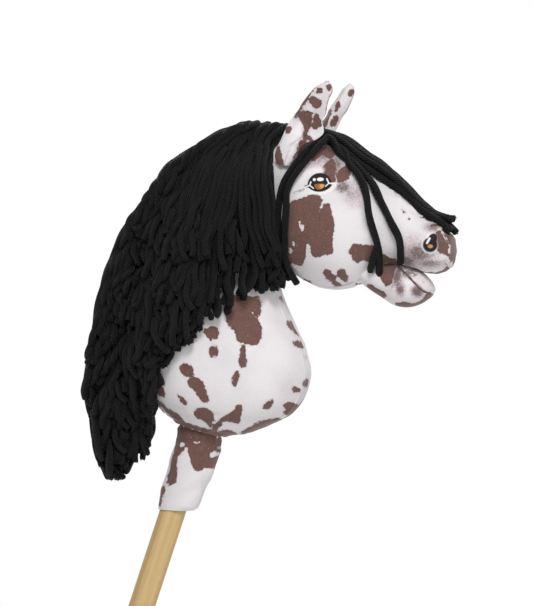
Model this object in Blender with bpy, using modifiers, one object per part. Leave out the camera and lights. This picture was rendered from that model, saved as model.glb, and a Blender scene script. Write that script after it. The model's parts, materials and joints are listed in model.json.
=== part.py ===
"""A stuffed hobby horse: a cloth head and neck on a plain wooden pole, with yarn for its mane and forelock.

Metres, +Z up. The horse looks along +X and the pole leans the way it stands in the hand. The origin is
the centre of the pole's foot. Shapes are worked out in millimetres and scaled once, where a mesh is made.
"""

import math

import bmesh
import bpy
import numpy as np
from mathutils import Vector
from mathutils.bvhtree import BVHTree

# Pole.
POLE_DIAMETER = 25.0
POLE_FREE_LENGTH = 562.0
POLE_INSERTED_LENGTH = 290.0
POLE_LEAN = math.radians(18.4)
POLE_EDGE_ROUND = 2.0
POLE_SIDES = 32
PAD_THICKNESS = 8.0

# Cloth and the gaps that keep separate pieces apart.
FABRIC_THICKNESS = 1.2
SEAM_GAP = 0.3
LAYER_GAP = 0.35
GUSSET_HALF_WIDTH = 18.0
GUSSET_SHARE = 0.7
TAPE_THICKNESS = 1.2
SECTION_POWER = 0.9
BORE_BELOW_HEM = 60.0
WELL_OUTSIDE = 2000.0

# Yarn locks.
LOCK_HALF_THICKNESS = 6.0
MANE_HALF_THICKNESS = 8.0
LOCK_SIDES = 8
LOCK_POWER = 0.85
LOCK_GAP = 0.35
LOCK_REST_GAP = 0.5
LOCK_REACH = 4.5
CHEEK_LOCK_HALF_WIDTH = 8.0
CHEEK_LOCK_HALF_THICKNESS = 5.0
EDGE_LOCK_HALF_WIDTH = 10.0
FORELOCK_GAP = 1.0
FORELOCK_HALF_WIDTH = 7.2
STRAND_REST_GAP = 0.8
STRAND_SIDES = 6
FORELOCK_SIDE = 22.4
FORELOCK_SWING_ROOM = 2.8
STRAND_RADIUS = 3.8

# Ears.
EAR_PUFF = 2.4
EAR_CUP = 7.0

MM = 0.001
UP_POLE = np.array([math.sin(POLE_LEAN), 0.0, math.cos(POLE_LEAN)])
AHEAD_OF_POLE = np.array([math.cos(POLE_LEAN), 0.0, -math.sin(POLE_LEAN)])
HEM = UP_POLE * POLE_FREE_LENGTH

# Colour and roughness of each kind of material.
LOOKS = {
    "pine": ((0.68, 0.48, 0.23), 0.55),
    "cloth": ((0.78, 0.75, 0.76), 0.9),
    "brown_cloth": ((0.17, 0.09, 0.07), 0.9),
    "filling": ((0.85, 0.85, 0.83), 0.95),
    "tape": ((0.02, 0.02, 0.022), 0.9),
    "yarn": ((0.012, 0.012, 0.014), 0.85),
    "felt": ((0.35, 0.33, 0.3), 0.95),
}

# The sleeve round the pole, from the hem up. For its front and its back: how far up the pole from the
# hem, and the room between the pole and the outside of the cloth. Then the room at the pole's sides.
SLEEVE_ROWS = [
    (8.2, 8.9, -0.8, 2.2, 2.5),
    (23.1, 10.7, 13.0, 3.8, 3.7),
    (37.8, 12.0, 30.8, 5.4, 5.1),
    (53.5, 13.0, 49.3, 5.3, 6.9),
    (69.1, 14.0, 66.5, 5.8, 9.1),
]
# The cloth bag above it, one row for each ring: front or under point (x, z), crest point (x, z), half
# thickness. Every x and z here and below is measured from where the pole's middle line meets the hem.
BAG_ROWS = [
    (49.0, 72.8, 6.6, 85.4, 24.0),
    (74.6, 77.6, -6.2, 97.0, 38.0),
    (98.2, 85.4, -16.1, 106.7, 48.0),
    (117.9, 97.0, -24.9, 119.3, 56.0),
    (129.7, 112.5, -31.8, 135.8, 61.0),
    (135.6, 134.8, -34.8, 158.1, 63.0),
    (131.7, 157.1, -33.8, 181.4, 62.0),
    (121.8, 179.4, -29.8, 206.6, 58.0),
    (112.0, 200.8, -24.0, 234.0, 54.0),
    (106.1, 219.2, -17.0, 263.5, 50.0),
    (105.1, 231.8, -4.0, 293.0, 47.0),
    (106.1, 237.7, 15.5, 320.0, 45.0),
    (108.1, 239.6, 40.0, 343.0, 44.0),
    (110.0, 239.6, 68.0, 356.5, 45.0),
    (113.0, 237.7, 94.3, 363.0, 48.0),
    (119.9, 231.8, 115.9, 364.7, 53.0),
    (131.7, 225.0, 135.6, 364.7, 57.0),
    (147.5, 218.2, 155.3, 360.8, 58.0),
    (165.2, 216.3, 174.0, 351.1, 56.0),
    (182.9, 220.2, 191.8, 338.5, 50.0),
    (200.6, 229.9, 208.5, 325.9, 44.0),
    (218.4, 238.6, 225.3, 313.3, 39.0),
    (235.1, 236.7, 241.0, 299.7, 37.0),
    (250.9, 233.8, 255.8, 287.1, 35.0),
    (263.7, 234.7, 266.6, 279.4, 31.0),
    (272.5, 239.6, 273.5, 270.6, 23.0),
]
NOSE_BULGE = 4.8
SIDE_CELLS = 8
GUSSET_CELLS = 4

# Which rings of the whole bag start and end each piece. Ring 0 is the hem, 5 is the sleeve seam.
SEAM_SLEEVE = 5
SEAM_BASE = 6
SEAM_THROAT = 16
SEAM_POLL = 19
SEAM_STUFFING = 20
SEAM_LIP = 24
RING_NOSE = 30

# The lower jaw: under point, upper point, half thickness, angle of the lip seam from the upper point.
JAW_ROWS = [
    (187.0, 222.0, 191.0, 242.0, 30.0, 30.0),
    (195.0, 215.0, 203.0, 242.0, 31.0, 36.0),
    (207.0, 208.0, 215.0, 236.5, 32.0, 46.0),
    (219.0, 201.5, 226.0, 234.5, 31.5, 60.0),
    (232.0, 199.5, 237.0, 233.0, 30.0, 75.0),
    (244.0, 203.0, 247.0, 230.0, 26.0, 92.0),
    (252.0, 208.0, 254.0, 225.5, 20.0, 112.0),
    (256.0, 212.5, 257.5, 220.0, 12.0, 135.0),
]
JAW_TIP = (259.5, 216.0)
MIDDLE_OF_JAW = (228.0, 0.0, 217.0)
LIP_SEAM_GAP = 1.1
JAW_FILLING_GAP = 2.2
LINING_CELLS = 6
LIP_CELLS = 8

# The yarn: the part of the mane that a lock belongs to, its widest half width, its half depth at the
# end, and (x, z) down its middle as it hangs on the near side.
MANE_LOCKS = {
    "mane_front_lock_a": ("front", 9.0, 7.0, [(101, 373), (100, 338), (99, 294), (98, 255), (97, 226)]),
    "mane_front_lock_b": ("front", 13.0, 7.0, [(82, 377), (81, 338), (80, 294), (80, 255), (80, 213)]),
    "mane_front_lock_c": ("front", 13.0, 7.0, [(62, 374), (60, 338), (59, 294), (59, 250), (60, 202)]),
    "mane_front_lock_d": ("front", 13.0, 7.0, [(43, 364), (41, 326), (40, 289), (39, 245), (41, 186)]),
    "mane_middle_lock_a": ("middle", 13.0, 7.0, [(22, 352), (21, 314), (20, 279), (19, 231), (21, 168)]),
    "mane_middle_lock_b": ("middle", 13.0, 7.0, [(6, 336), (6, 302), (5, 262), (4, 216), (6, 153)]),
    "mane_middle_lock_c": ("middle", 13.0, 7.0, [(-8, 316), (-8, 280), (-8, 243), (-9, 202), (-6, 136)]),
    "mane_back_lock_a": ("back", 13.0, 8.0, [(-22, 290), (-23, 250), (-24, 202), (-27, 150), (-27, 100),
                                             (-29, 50)]),
    "mane_back_lock_b": ("back", 13.0, 12.0, [(-30, 277), (-33, 245), (-37, 202), (-42, 150), (-43, 100),
                                              (-43, 38)]),
    "mane_back_lock_c": ("back", 13.0, 12.0, [(-38, 264), (-43, 236), (-50, 195), (-57, 150), (-59, 100),
                                              (-56, 28)]),
    "mane_back_lock_d": ("back", 13.0, 12.0, [(-46, 250), (-52, 228), (-62, 190), (-71, 148), (-74, 100),
                                              (-68, 34)]),
}
MANE_SLABS = {"front": (31.0, 108.5), "middle": (-15.0, 30.4), "back": (-200.0, -15.6)}
MANE_ROOT_Y = 23.5
MANE_TAIL_Y = 6.0
MANE_TAIL_FALL = (112.0, 85.0)
CHEEK_LOCK = [(123, 331), (120, 313), (118, 294), (117, 275), (118, 255), (121, 238), (125, 222)]
MANE_RIDGE = {8: 6.0, 9: 13.0, 10: 22.0, 11: 29.0, 12: 33.0, 13: 33.0, 14: 32.0, 15: 31.0, 16: 28.0,
              17: 24.0, 18: 20.0, 19: 15.0}
FORELOCK_LOCKS = {
    "forelock_lock_near": (-15.3, [143, 156, 171, 187, 204, 222, 240], [(257, 297), (270, 287), (280, 277)]),
    "forelock_lock_middle": (0.0, [143, 156, 171, 187, 204, 222, 240], [(257, 300), (269, 293), (281, 288)]),
    "forelock_lock_far": (15.3, [143, 156, 171, 187, 204, 222, 240], [(256, 299), (267, 292)]),
}
FORELOCK_STRANDS = {
    "forelock_strand_a": [(180, 355), (191, 340), (200, 323), (206, 304), (210, 279), (213, 260), (213, 243),
                          (211, 230)],
    "forelock_strand_b": [(195, 347), (206, 329), (215, 311), (223, 294), (230, 275), (232, 260), (231, 243)],
}

# The ears: where the near one starts and ends, the way that it opens, and its outline.
EAR_BASE = (124.0, -49.2, 339.0)
EAR_TIP = (164.0, -64.0, 417.5)
EAR_OPENING = (0.42, -0.88, 0.1)
EAR_OUTLINE = [(0.0, 7.0), (0.06, 15.0), (0.15, 27.0), (0.26, 35.0), (0.4, 33.5), (0.55, 29.0),
               (0.7, 23.5), (0.84, 16.0), (0.94, 9.0), (1.0, 3.0)]
EAR_CELLS = 6
EAR_HINGE_RISE = 2.0

# Where each moving piece turns.
HINGES = {
    "ear_near": (EAR_BASE[0], EAR_BASE[1], EAR_BASE[2] + EAR_HINGE_RISE),
    "ear_far": (EAR_BASE[0], -EAR_BASE[1], EAR_BASE[2] + EAR_HINGE_RISE),
    "forelock": (143.0, 0.0, 372.0),
    "mane_front": (70.0, -36.0, 378.0),
    "mane_middle": (8.0, -36.0, 352.0),
    "mane_back": (-38.0, -36.0, 290.0),
}


def clear_scene():
    for obj in list(bpy.data.objects):
        bpy.data.objects.remove(obj, do_unlink=True)


def add_collection(name):
    collection = bpy.data.collections.new(name)
    bpy.context.scene.collection.children.link(collection)
    return collection


def make_material(name, look):
    colour, roughness = LOOKS[look]
    material = bpy.data.materials.new(name)
    material.use_nodes = True
    shader = material.node_tree.nodes["Principled BSDF"]
    shader.inputs["Base Color"].default_value = (*colour, 1.0)
    shader.inputs["Roughness"].default_value = roughness
    shader.inputs["Metallic"].default_value = 0.0
    return material


def hinge_point(body):
    return placed(*HINGES[body]) if body in HINGES else np.zeros(3)


def add_object(name, mesh, look, body="root"):
    """Links a piece into the horse's collection, under the empty on its joint's axis."""
    obj = bpy.data.objects.new(name, mesh)
    mesh.shade_smooth()
    mesh.set_sharp_from_angle(angle=math.radians(50))
    mesh.materials.append(make_material(name, look))
    bpy.data.collections["hobby_horse"].objects.link(obj)
    obj.parent = bpy.data.objects[body + "_frame"]
    return obj


def add_solid(name, points, faces, look="cloth", body="root", closed=True):
    """A mesh from points in millimetres, its faces turned outwards."""
    mesh = bpy.data.meshes.new(name)
    local = (np.asarray(points, float) - hinge_point(body)) * MM
    mesh.from_pydata(local.tolist(), [], [tuple(int(i) for i in face) for face in faces])
    shell = bmesh.new()
    shell.from_mesh(mesh)
    bmesh.ops.recalc_face_normals(shell, faces=shell.faces)
    if closed and shell.calc_volume(signed=True) < 0:
        bmesh.ops.reverse_faces(shell, faces=shell.faces)
    shell.to_mesh(mesh)
    shell.free()
    return add_object(name, mesh, look, body)


def make_cutter(obj):
    """Turns a piece into a helper, which stays in the file but out of every render."""
    obj.hide_render = True
    obj.display_type = "WIRE"
    bpy.data.collections["hobby_horse"].objects.unlink(obj)
    bpy.data.collections["cutters"].objects.link(obj)
    return obj


def solidify(obj, side):
    modifier = obj.modifiers.new("cloth", "SOLIDIFY")
    modifier.thickness = FABRIC_THICKNESS * MM
    modifier.offset = side
    modifier.use_even_offset = False


def cut(obj, cutter):
    modifier = obj.modifiers.new("clearance", "BOOLEAN")
    modifier.operation = "DIFFERENCE"
    modifier.solver = "EXACT"
    modifier.object = cutter


def placed(x, y, z):
    """From hem measurements to the object's own frame."""
    return np.array([x + HEM[0], y, z + HEM[2]])


def powered(value, power):
    return math.copysign(abs(value) ** power, value)


def ring_angles(half_thickness):
    """The angles round one ring: near side, crest gusset, far side, front gusset."""
    share = min(GUSSET_HALF_WIDTH / half_thickness, GUSSET_SHARE)
    seam = math.asin(share ** (1 / SECTION_POWER))
    near = [seam + (math.pi - 2 * seam) * k / SIDE_CELLS for k in range(SIDE_CELLS)]
    crest = [math.pi - seam + 2 * seam * k / GUSSET_CELLS for k in range(GUSSET_CELLS)]
    far = [angle + math.pi for angle in near]
    front = [2 * math.pi - seam + 2 * seam * k / GUSSET_CELLS for k in range(GUSSET_CELLS)]
    return near + crest + far + front


def sleeve_row(row):
    """A sleeve row in the same terms as a bag row, from the pole that it goes round."""
    front_up, front_room, back_up, back_room, side_room = row
    radius = POLE_DIAMETER / 2
    front = UP_POLE * front_up + AHEAD_OF_POLE * (radius + front_room)
    back = UP_POLE * back_up - AHEAD_OF_POLE * (radius + back_room)
    return front[0], front[2], back[0], back[2], radius + side_room


def bag_ring(row):
    px, pz, qx, qz, half = row
    points = []
    for angle in ring_angles(half):
        along = powered(math.cos(angle), SECTION_POWER)
        across = powered(math.sin(angle), SECTION_POWER)
        x = (px + qx) / 2 + (px - qx) / 2 * along
        z = (pz + qz) / 2 + (pz - qz) / 2 * along
        points.append(placed(x, -half * across, z))
    return points


COLUMNS = 2 * SIDE_CELLS + 2 * GUSSET_CELLS
COLUMN_CREST = SIDE_CELLS
COLUMN_FAR = SIDE_CELLS + GUSSET_CELLS
COLUMN_FRONT = 2 * SIDE_CELLS + GUSSET_CELLS


class Skin:
    """The outside of the bag as one grid of triangles, each known by its ring and its column."""

    def __init__(self):
        self.points = []
        for row in [sleeve_row(row) for row in SLEEVE_ROWS] + BAG_ROWS:
            self.points += bag_ring(row)
        self.cells = {}
        for ring in range(RING_NOSE):
            for column in range(COLUMNS):
                a = self.index(ring, column)
                b = self.index(ring, column + 1)
                c = self.index(ring + 1, column + 1)
                d = self.index(ring + 1, column)
                self.cells[(ring, column)] = [(a, b, c), (a, c, d)]
        self.add_nose()
        self.points = np.array(self.points)
        self.normals = self.outward()

    def index(self, ring, column):
        return ring * COLUMNS + column % COLUMNS

    def add_nose(self):
        """Rows across the nose, from the crest gusset's end round to the upper lip."""
        last = RING_NOSE
        ends = [self.points[self.index(last, column)] for column in (0, COLUMN_FAR)]
        middle = (np.array(ends[0]) + np.array(ends[1])) / 2
        middle[1] = 0.0
        height = abs(BAG_ROWS[-1][3] - BAG_ROWS[-1][1]) / 2
        rows = [[self.index(last, COLUMN_CREST + k) for k in range(GUSSET_CELLS + 1)]]
        for k in range(SIDE_CELLS - 1, 0, -1):
            near = np.array(self.points[self.index(last, k)])
            far = np.array(self.points[self.index(last, COLUMN_FRONT - k)])
            row = [self.index(last, k)]
            for j in range(1, GUSSET_CELLS):
                point = near + (far - near) * j / GUSSET_CELLS
                away = math.hypot((point[2] - middle[2]) / height, point[1] / BAG_ROWS[-1][4])
                point[0] += NOSE_BULGE * math.sqrt(max(0.0, 1 - away**2))
                row.append(len(self.points))
                self.points.append(point)
            row.append(self.index(last, COLUMN_FRONT - k))
            rows.append(row)
        rows.append([self.index(last, COLUMNS - k) for k in range(GUSSET_CELLS + 1)])
        for i in range(len(rows) - 1):
            for j in range(GUSSET_CELLS):
                a, b = rows[i][j], rows[i][j + 1]
                c, d = rows[i + 1][j + 1], rows[i + 1][j]
                self.cells[("nose", i, j)] = [(a, b, c), (a, c, d)]

    def outward(self):
        normals = np.zeros_like(self.points)
        for triangles in self.cells.values():
            for a, b, c in triangles:
                normal = np.cross(self.points[b] - self.points[a], self.points[c] - self.points[a])
                for corner in (a, b, c):
                    normals[corner] += normal
        normals /= np.linalg.norm(normals, axis=1)[:, None]
        crest = self.index(12, COLUMN_CREST + 2)
        front = self.index(12, COLUMN_FRONT + 2)
        if np.dot(normals[crest], self.points[crest] - self.points[front]) < 0:
            normals = -normals
        return normals

    def block(self, rings, columns):
        found = []
        for ring in range(*rings):
            for column in range(*columns):
                found += self.cells[(ring, column % COLUMNS)]
        return found

    def nose(self):
        return [t for key, cell in self.cells.items() if key[0] == "nose" for t in cell]


def boundary_pull(points, normals, triangles):
    """For each corner on the edge of a piece, the step that takes it in from the edge by 1."""
    seen = {}
    for triangle in triangles:
        for a, b in zip(triangle, triangle[1:] + triangle[:1]):
            seen[(a, b)] = triangle
    steps = {}
    edges = [(edge, triangle) for edge, triangle in seen.items() if edge[::-1] not in seen]
    for (a, b), triangle in edges:
        third = next(corner for corner in triangle if corner not in (a, b))
        along = points[b] - points[a]
        along = along / np.linalg.norm(along)
        inward = points[third] - points[a]
        inward = inward - along * np.dot(inward, along)
        inward = inward / np.linalg.norm(inward)
        for corner in (a, b):
            steps.setdefault(corner, []).append(inward)
    result = {}
    for corner, ways in steps.items():
        total = np.sum(ways, axis=0)
        spread = max(0.35, np.dot(total, total) / len(ways))
        result[corner] = total / spread
    return [edge for edge, _ in edges], result


def thickened(skin, triangles, outer, inner, pull):
    """A closed shell over some of the skin's triangles, between two distances outside it."""
    edges, steps = boundary_pull(skin.points, skin.normals, triangles)
    used = sorted({corner for triangle in triangles for corner in triangle})
    place = {corner: k for k, corner in enumerate(used)}
    heights = [outer(corner) if callable(outer) else outer for corner in used]
    drawn = [skin.points[c] + steps.get(c, np.zeros(3)) * pull for c in used]
    top = [point + skin.normals[c] * height for c, point, height in zip(used, drawn, heights)]
    low = [point + skin.normals[c] * inner for c, point in zip(used, drawn)]
    count = len(used)
    faces = [tuple(place[c] for c in triangle) for triangle in triangles]
    faces += [tuple(place[c] + count for c in triangle[::-1]) for triangle in triangles]
    for a, b in edges:
        i, j = place[a], place[b]
        faces += [(j, i, i + count), (j, i + count, j + count)]
    return top + low, faces


def filled(skin, rings, inset, nose=False):
    """A solid inside the skin between two rings, with a fan closing each open end."""
    triangles = skin.block(rings, (0, COLUMNS))
    if nose:
        triangles = triangles + skin.nose()
    edges, steps = boundary_pull(skin.points, skin.normals, triangles)
    used = sorted({corner for triangle in triangles for corner in triangle})
    place = {corner: k for k, corner in enumerate(used)}
    drawn = [skin.points[c] + steps.get(c, np.zeros(3)) * SEAM_GAP / 2 for c in used]
    points = [point - skin.normals[c] * inset for c, point in zip(used, drawn)]
    faces = [tuple(place[c] for c in triangle) for triangle in triangles]
    ends = [rings[0]] if nose else [rings[0], rings[1]]
    for ring in ends:
        loop = [place[skin.index(ring, column)] for column in range(COLUMNS)]
        centre = np.mean([points[k] for k in loop], axis=0)
        points.append(centre)
        for k in range(COLUMNS):
            pair = (loop[k], loop[(k + 1) % COLUMNS])
            faces.append((len(points) - 1,) + (pair[::-1] if ring == rings[0] else pair))
    return points, faces


def add_bar(name, start, end, radius, look, edge_round=0.0):
    """A round bar on the pole's middle line, from one distance up the pole to another."""
    bpy.ops.mesh.primitive_cylinder_add(vertices=POLE_SIDES, radius=radius * MM, depth=(end - start) * MM)
    bar = bpy.context.object
    mesh = bar.data
    bpy.data.objects.remove(bar)
    mesh.name = name
    obj = add_object(name, mesh, look)
    obj.location = Vector(UP_POLE * (start + end) / 2 * MM)
    obj.rotation_euler = (0.0, POLE_LEAN, 0.0)
    if edge_round:
        bevel = obj.modifiers.new("rounded_edge", "BEVEL")
        bevel.width = edge_round * MM
        bevel.segments = 3
        bevel.limit_method = "ANGLE"
        bevel.angle_limit = math.radians(50)
    return obj


def build_pole():
    top = POLE_FREE_LENGTH + POLE_INSERTED_LENGTH
    radius = POLE_DIAMETER / 2
    add_bar("pole", 0.0, top, radius, "pine", POLE_EDGE_ROUND)
    add_bar("pole_top_pad", top + SEAM_GAP, top + SEAM_GAP + PAD_THICKNESS, radius, "felt", POLE_EDGE_ROUND)
    bore_top = top + 2 * SEAM_GAP + PAD_THICKNESS
    bore_start = POLE_FREE_LENGTH - BORE_BELOW_HEM
    return make_cutter(add_bar("cutter_pole_bore", bore_start, bore_top, radius + SEAM_GAP, "pine"))


def build_bag(skin, bore):
    """The sewn panels and the filling that they hold."""
    front_centre = COLUMN_FRONT + GUSSET_CELLS // 2
    crest_centre = COLUMN_CREST + GUSSET_CELLS // 2
    near_half = (front_centre - COLUMNS, crest_centre)
    far_half = (crest_centre, front_centre)
    front = (COLUMN_FRONT, COLUMN_FRONT + GUSSET_CELLS)
    crest = (COLUMN_CREST, COLUMN_CREST + GUSSET_CELLS)
    pieces = {
        "sleeve_near": skin.block((0, SEAM_SLEEVE), near_half),
        "sleeve_far": skin.block((0, SEAM_SLEEVE), far_half),
        "base_panel": skin.block((SEAM_SLEEVE, SEAM_BASE), (0, COLUMNS)),
        "side_panel_near": skin.block((SEAM_BASE, RING_NOSE), (0, COLUMN_CREST)),
        "side_panel_far": skin.block((SEAM_BASE, RING_NOSE), (COLUMN_FAR, COLUMN_FRONT)),
        "chest_gusset": skin.block((SEAM_BASE, SEAM_THROAT), front),
        "under_jaw_gusset": skin.block((SEAM_THROAT, SEAM_LIP), front),
        "upper_lip_lining": skin.block((SEAM_LIP, RING_NOSE), front),
        "crest_gusset": skin.block((SEAM_BASE, SEAM_POLL), crest),
        "forehead_gusset": skin.block((SEAM_POLL, RING_NOSE), crest) + skin.nose(),
    }
    for name, triangles in pieces.items():
        add_solid(name, *thickened(skin, triangles, 0.0, -FABRIC_THICKNESS, SEAM_GAP / 2))
    inset = FABRIC_THICKNESS + LAYER_GAP
    neck = add_solid("neck_stuffing", *filled(skin, (1, SEAM_STUFFING), inset), look="filling")
    head_form = filled(skin, (SEAM_STUFFING, RING_NOSE), inset, nose=True)
    head = add_solid("head_stuffing", *head_form, look="filling")
    cut(neck, bore)
    cut(head, bore)


def jaw_ring(row, inset):
    """One ring of the lower jaw: the lining's arc over the top, then the outer panel's under it."""
    bx, bz, tx, tz, half, seam = row
    seam = math.radians(seam)
    angles = [-seam + 2 * seam * k / LINING_CELLS for k in range(LINING_CELLS)]
    angles += [seam + (2 * math.pi - 2 * seam) * k / LIP_CELLS for k in range(LIP_CELLS)]
    reach = math.hypot(tx - bx, tz - bz) / 2 - inset
    way = np.array([tx - bx, tz - bz]) / math.hypot(tx - bx, tz - bz)
    points = []
    for angle in angles:
        up = powered(math.cos(angle), SECTION_POWER) * reach
        across = powered(math.sin(angle), SECTION_POWER) * (half - inset)
        points.append(placed((bx + tx) / 2 + way[0] * up, -across, (bz + tz) / 2 + way[1] * up))
    return points


def jaw_surface(columns, with_tip):
    """A strip of the jaw's outside, open at its edges."""
    wide = LINING_CELLS + LIP_CELLS
    points = []
    for row in JAW_ROWS:
        ring = jaw_ring(row, 0.0)
        strip = [ring[c % wide] for c in range(columns[0], columns[1] + 1)]
        first, last = np.array(strip[0]), np.array(strip[-1])
        strip[0] = first + (strip[1] - first) / np.linalg.norm(strip[1] - first) * LIP_SEAM_GAP / 2
        strip[-1] = last + (strip[-2] - last) / np.linalg.norm(strip[-2] - last) * LIP_SEAM_GAP / 2
        points += strip
    rows, wide = len(JAW_ROWS), columns[1] - columns[0] + 1
    faces = []
    for i in range(rows - 1):
        for j in range(wide - 1):
            a, b, c, d = i * wide + j, i * wide + j + 1, (i + 1) * wide + j + 1, (i + 1) * wide + j
            faces += [(a, b, c), (a, c, d)]
    if with_tip:
        points.append(placed(JAW_TIP[0], 0.0, JAW_TIP[1]))
        base = (rows - 1) * wide
        faces += [(base + j, base + j + 1, len(points) - 1) for j in range(wide - 1)]
    return points, faces


def turn_outwards(obj):
    """An open surface of the jaw faces away from the jaw's middle."""
    middle = (placed(*MIDDLE_OF_JAW) - hinge_point("root")) * MM
    mesh = obj.data
    toward = sum((Vector(middle) - face.center).dot(face.normal) * face.area for face in mesh.polygons)
    if toward > 0:
        mesh.flip_normals()


def build_jaw(skin):
    head = filled(skin, (SEAM_POLL - 1, RING_NOSE), -LAYER_GAP, nose=True)
    head = make_cutter(add_solid("cutter_head_form", *head))
    lining = jaw_surface((0, LINING_CELLS), True)
    lining = add_solid("lower_lip_lining", *lining, look="brown_cloth", closed=False)
    panel = jaw_surface((LINING_CELLS, LINING_CELLS + LIP_CELLS), False)
    panel = add_solid("lower_lip_panel", *panel, closed=False)
    for obj in (lining, panel):
        turn_outwards(obj)
        solidify(obj, -1.0)
    inset = FABRIC_THICKNESS + JAW_FILLING_GAP
    rings = [jaw_ring(row, inset) for row in JAW_ROWS[:-1]]
    tip = np.mean(rings[-1], axis=0) + np.array([0.8, 0.0, 0.0])
    stuffing = add_solid("jaw_stuffing", *lofted(rings, tip), look="filling")
    for obj in (lining, panel, stuffing):
        cut(obj, head)


def lofted(rings, tip=None):
    """A closed solid through rings of as many points, with flat ends or a point at the last one."""
    wide = len(rings[0])
    points = [p for ring in rings for p in ring]
    faces = [tuple(range(wide))[::-1]]
    for i in range(len(rings) - 1):
        for j in range(wide):
            k = (j + 1) % wide
            a, b, c, d = i * wide + j, i * wide + k, (i + 1) * wide + k, (i + 1) * wide + j
            faces += [(a, b, c), (a, c, d)]
    last = (len(rings) - 1) * wide
    if tip is None:
        faces.append(tuple(range(last, last + wide)))
    else:
        points.append(tip)
        faces += [(last + j, last + (j + 1) % wide, len(points) - 1) for j in range(wide)]
    return points, faces


def lock_rings(centres, ways, widths_a, widths_b, depths, sides=LOCK_SIDES, limits=None):
    """The rings of a lock of yarn, with its own half width to each side and half depth."""
    rings = []
    for i, centre in enumerate(centres):
        before, after = centres[max(i - 1, 0)], centres[min(i + 1, len(centres) - 1)]
        along = (after - before) / np.linalg.norm(after - before)
        out = np.array(ways[i], float)
        out = out - along * np.dot(out, along)
        out = out / np.linalg.norm(out)
        across = np.cross(along, out)
        ring = []
        for k in range(sides):
            turn = 2 * math.pi * k / sides
            reach = widths_a[i] if math.cos(turn) > 0 else widths_b[i]
            point = centre + across * reach * powered(math.cos(turn), LOCK_POWER)
            point = point + out * depths[i] * powered(math.sin(turn), LOCK_POWER)
            if limits:
                point[0] = min(max(point[0], limits[0]), limits[1])
            ring.append(point)
        rings.append(ring)
    return rings


def resampled(path, count):
    """Evenly spaced points along a smooth curve through a path."""
    path = np.array(path, float)
    ends = [2 * path[0] - path[1]] + list(path) + [2 * path[-1] - path[-2]]
    dense = []
    for i in range(len(path) - 1):
        p0, p1, p2, p3 = ends[i], ends[i + 1], ends[i + 2], ends[i + 3]
        for k in range(12):
            t = k / 12
            dense.append(0.5 * (2 * p1 + (p2 - p0) * t + (2 * p0 - 5 * p1 + 4 * p2 - p3) * t * t
                                + (3 * p1 - p0 - 3 * p2 + p3) * t**3))
    dense.append(path[-1])
    dense = np.array(dense)
    run = np.concatenate([[0.0], np.cumsum(np.linalg.norm(np.diff(dense, axis=0), axis=1))])
    wanted = np.linspace(0.0, run[-1], count)
    return np.array([[np.interp(w, run, dense[:, axis]) for axis in range(path.shape[1])] for w in wanted])


def distance_to_path(point, path):
    best = 1e9
    for a, b in zip(path[:-1], path[1:]):
        along = b - a
        share = min(1.0, max(0.0, np.dot(point - a, along) / np.dot(along, along)))
        best = min(best, float(np.linalg.norm(point - a - along * share)))
    return best


class Drape:
    """Finds what a lock lies on: the cloth, and other pieces given as points and faces."""

    def __init__(self, skin, others):
        points = [Vector(p) for p in skin.points]
        faces = [t for cell in skin.cells.values() for t in cell]
        for more_points, more_faces in others:
            start = len(points)
            points += [Vector(p) for p in more_points]
            faces += [tuple(start + corner for corner in face) for face in more_faces]
        self.tree = BVHTree.FromPolygons(points, faces)

    def side(self, x, z):
        """How far the near side stands out at a point, or None beside it."""
        hit = self.tree.ray_cast(Vector((x, -WELL_OUTSIDE, z)), Vector((0.0, 1.0, 0.0)))
        return None if hit[0] is None else -hit[0].y

    def hang(self, rings, gap, least):
        """Moves each ring of a lock out until it lies on what is behind it."""
        steps = []
        for ring, floor in zip(rings, least):
            needs = [floor + gap + point[1] for point in ring]
            for point in ring:
                for dz in (-2 * LOCK_REACH, -LOCK_REACH, 0.0, LOCK_REACH, 2 * LOCK_REACH):
                    behind = self.side(point[0], point[2] + dz)
                    if behind is not None:
                        needs.append(behind + gap + point[1])
            steps.append(max(needs))
        for _ in range(2):
            before = list(steps)
            for i in range(1, len(steps) - 1):
                steps[i] = max(before[i], (before[i - 1] + before[i] + before[i + 1]) / 3)
        for ring, step in zip(rings, steps):
            for point in ring:
                point[1] -= step
        return rings

    def top(self, x, y):
        hit = self.tree.ray_cast(Vector((x + HEM[0], y, WELL_OUTSIDE)), Vector((0.0, 0.0, -1.0)))
        normal = np.array(hit[1])
        return np.array(hit[0]), normal * math.copysign(1.0, normal[2])


def soft_ends(values, first, last):
    shape = [1.0] * len(values)
    shape[0], shape[-1] = first, last
    shape[-2] = max(shape[-2] * 0.85, last)
    return [v * s for v, s in zip(values, shape)]


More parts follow.
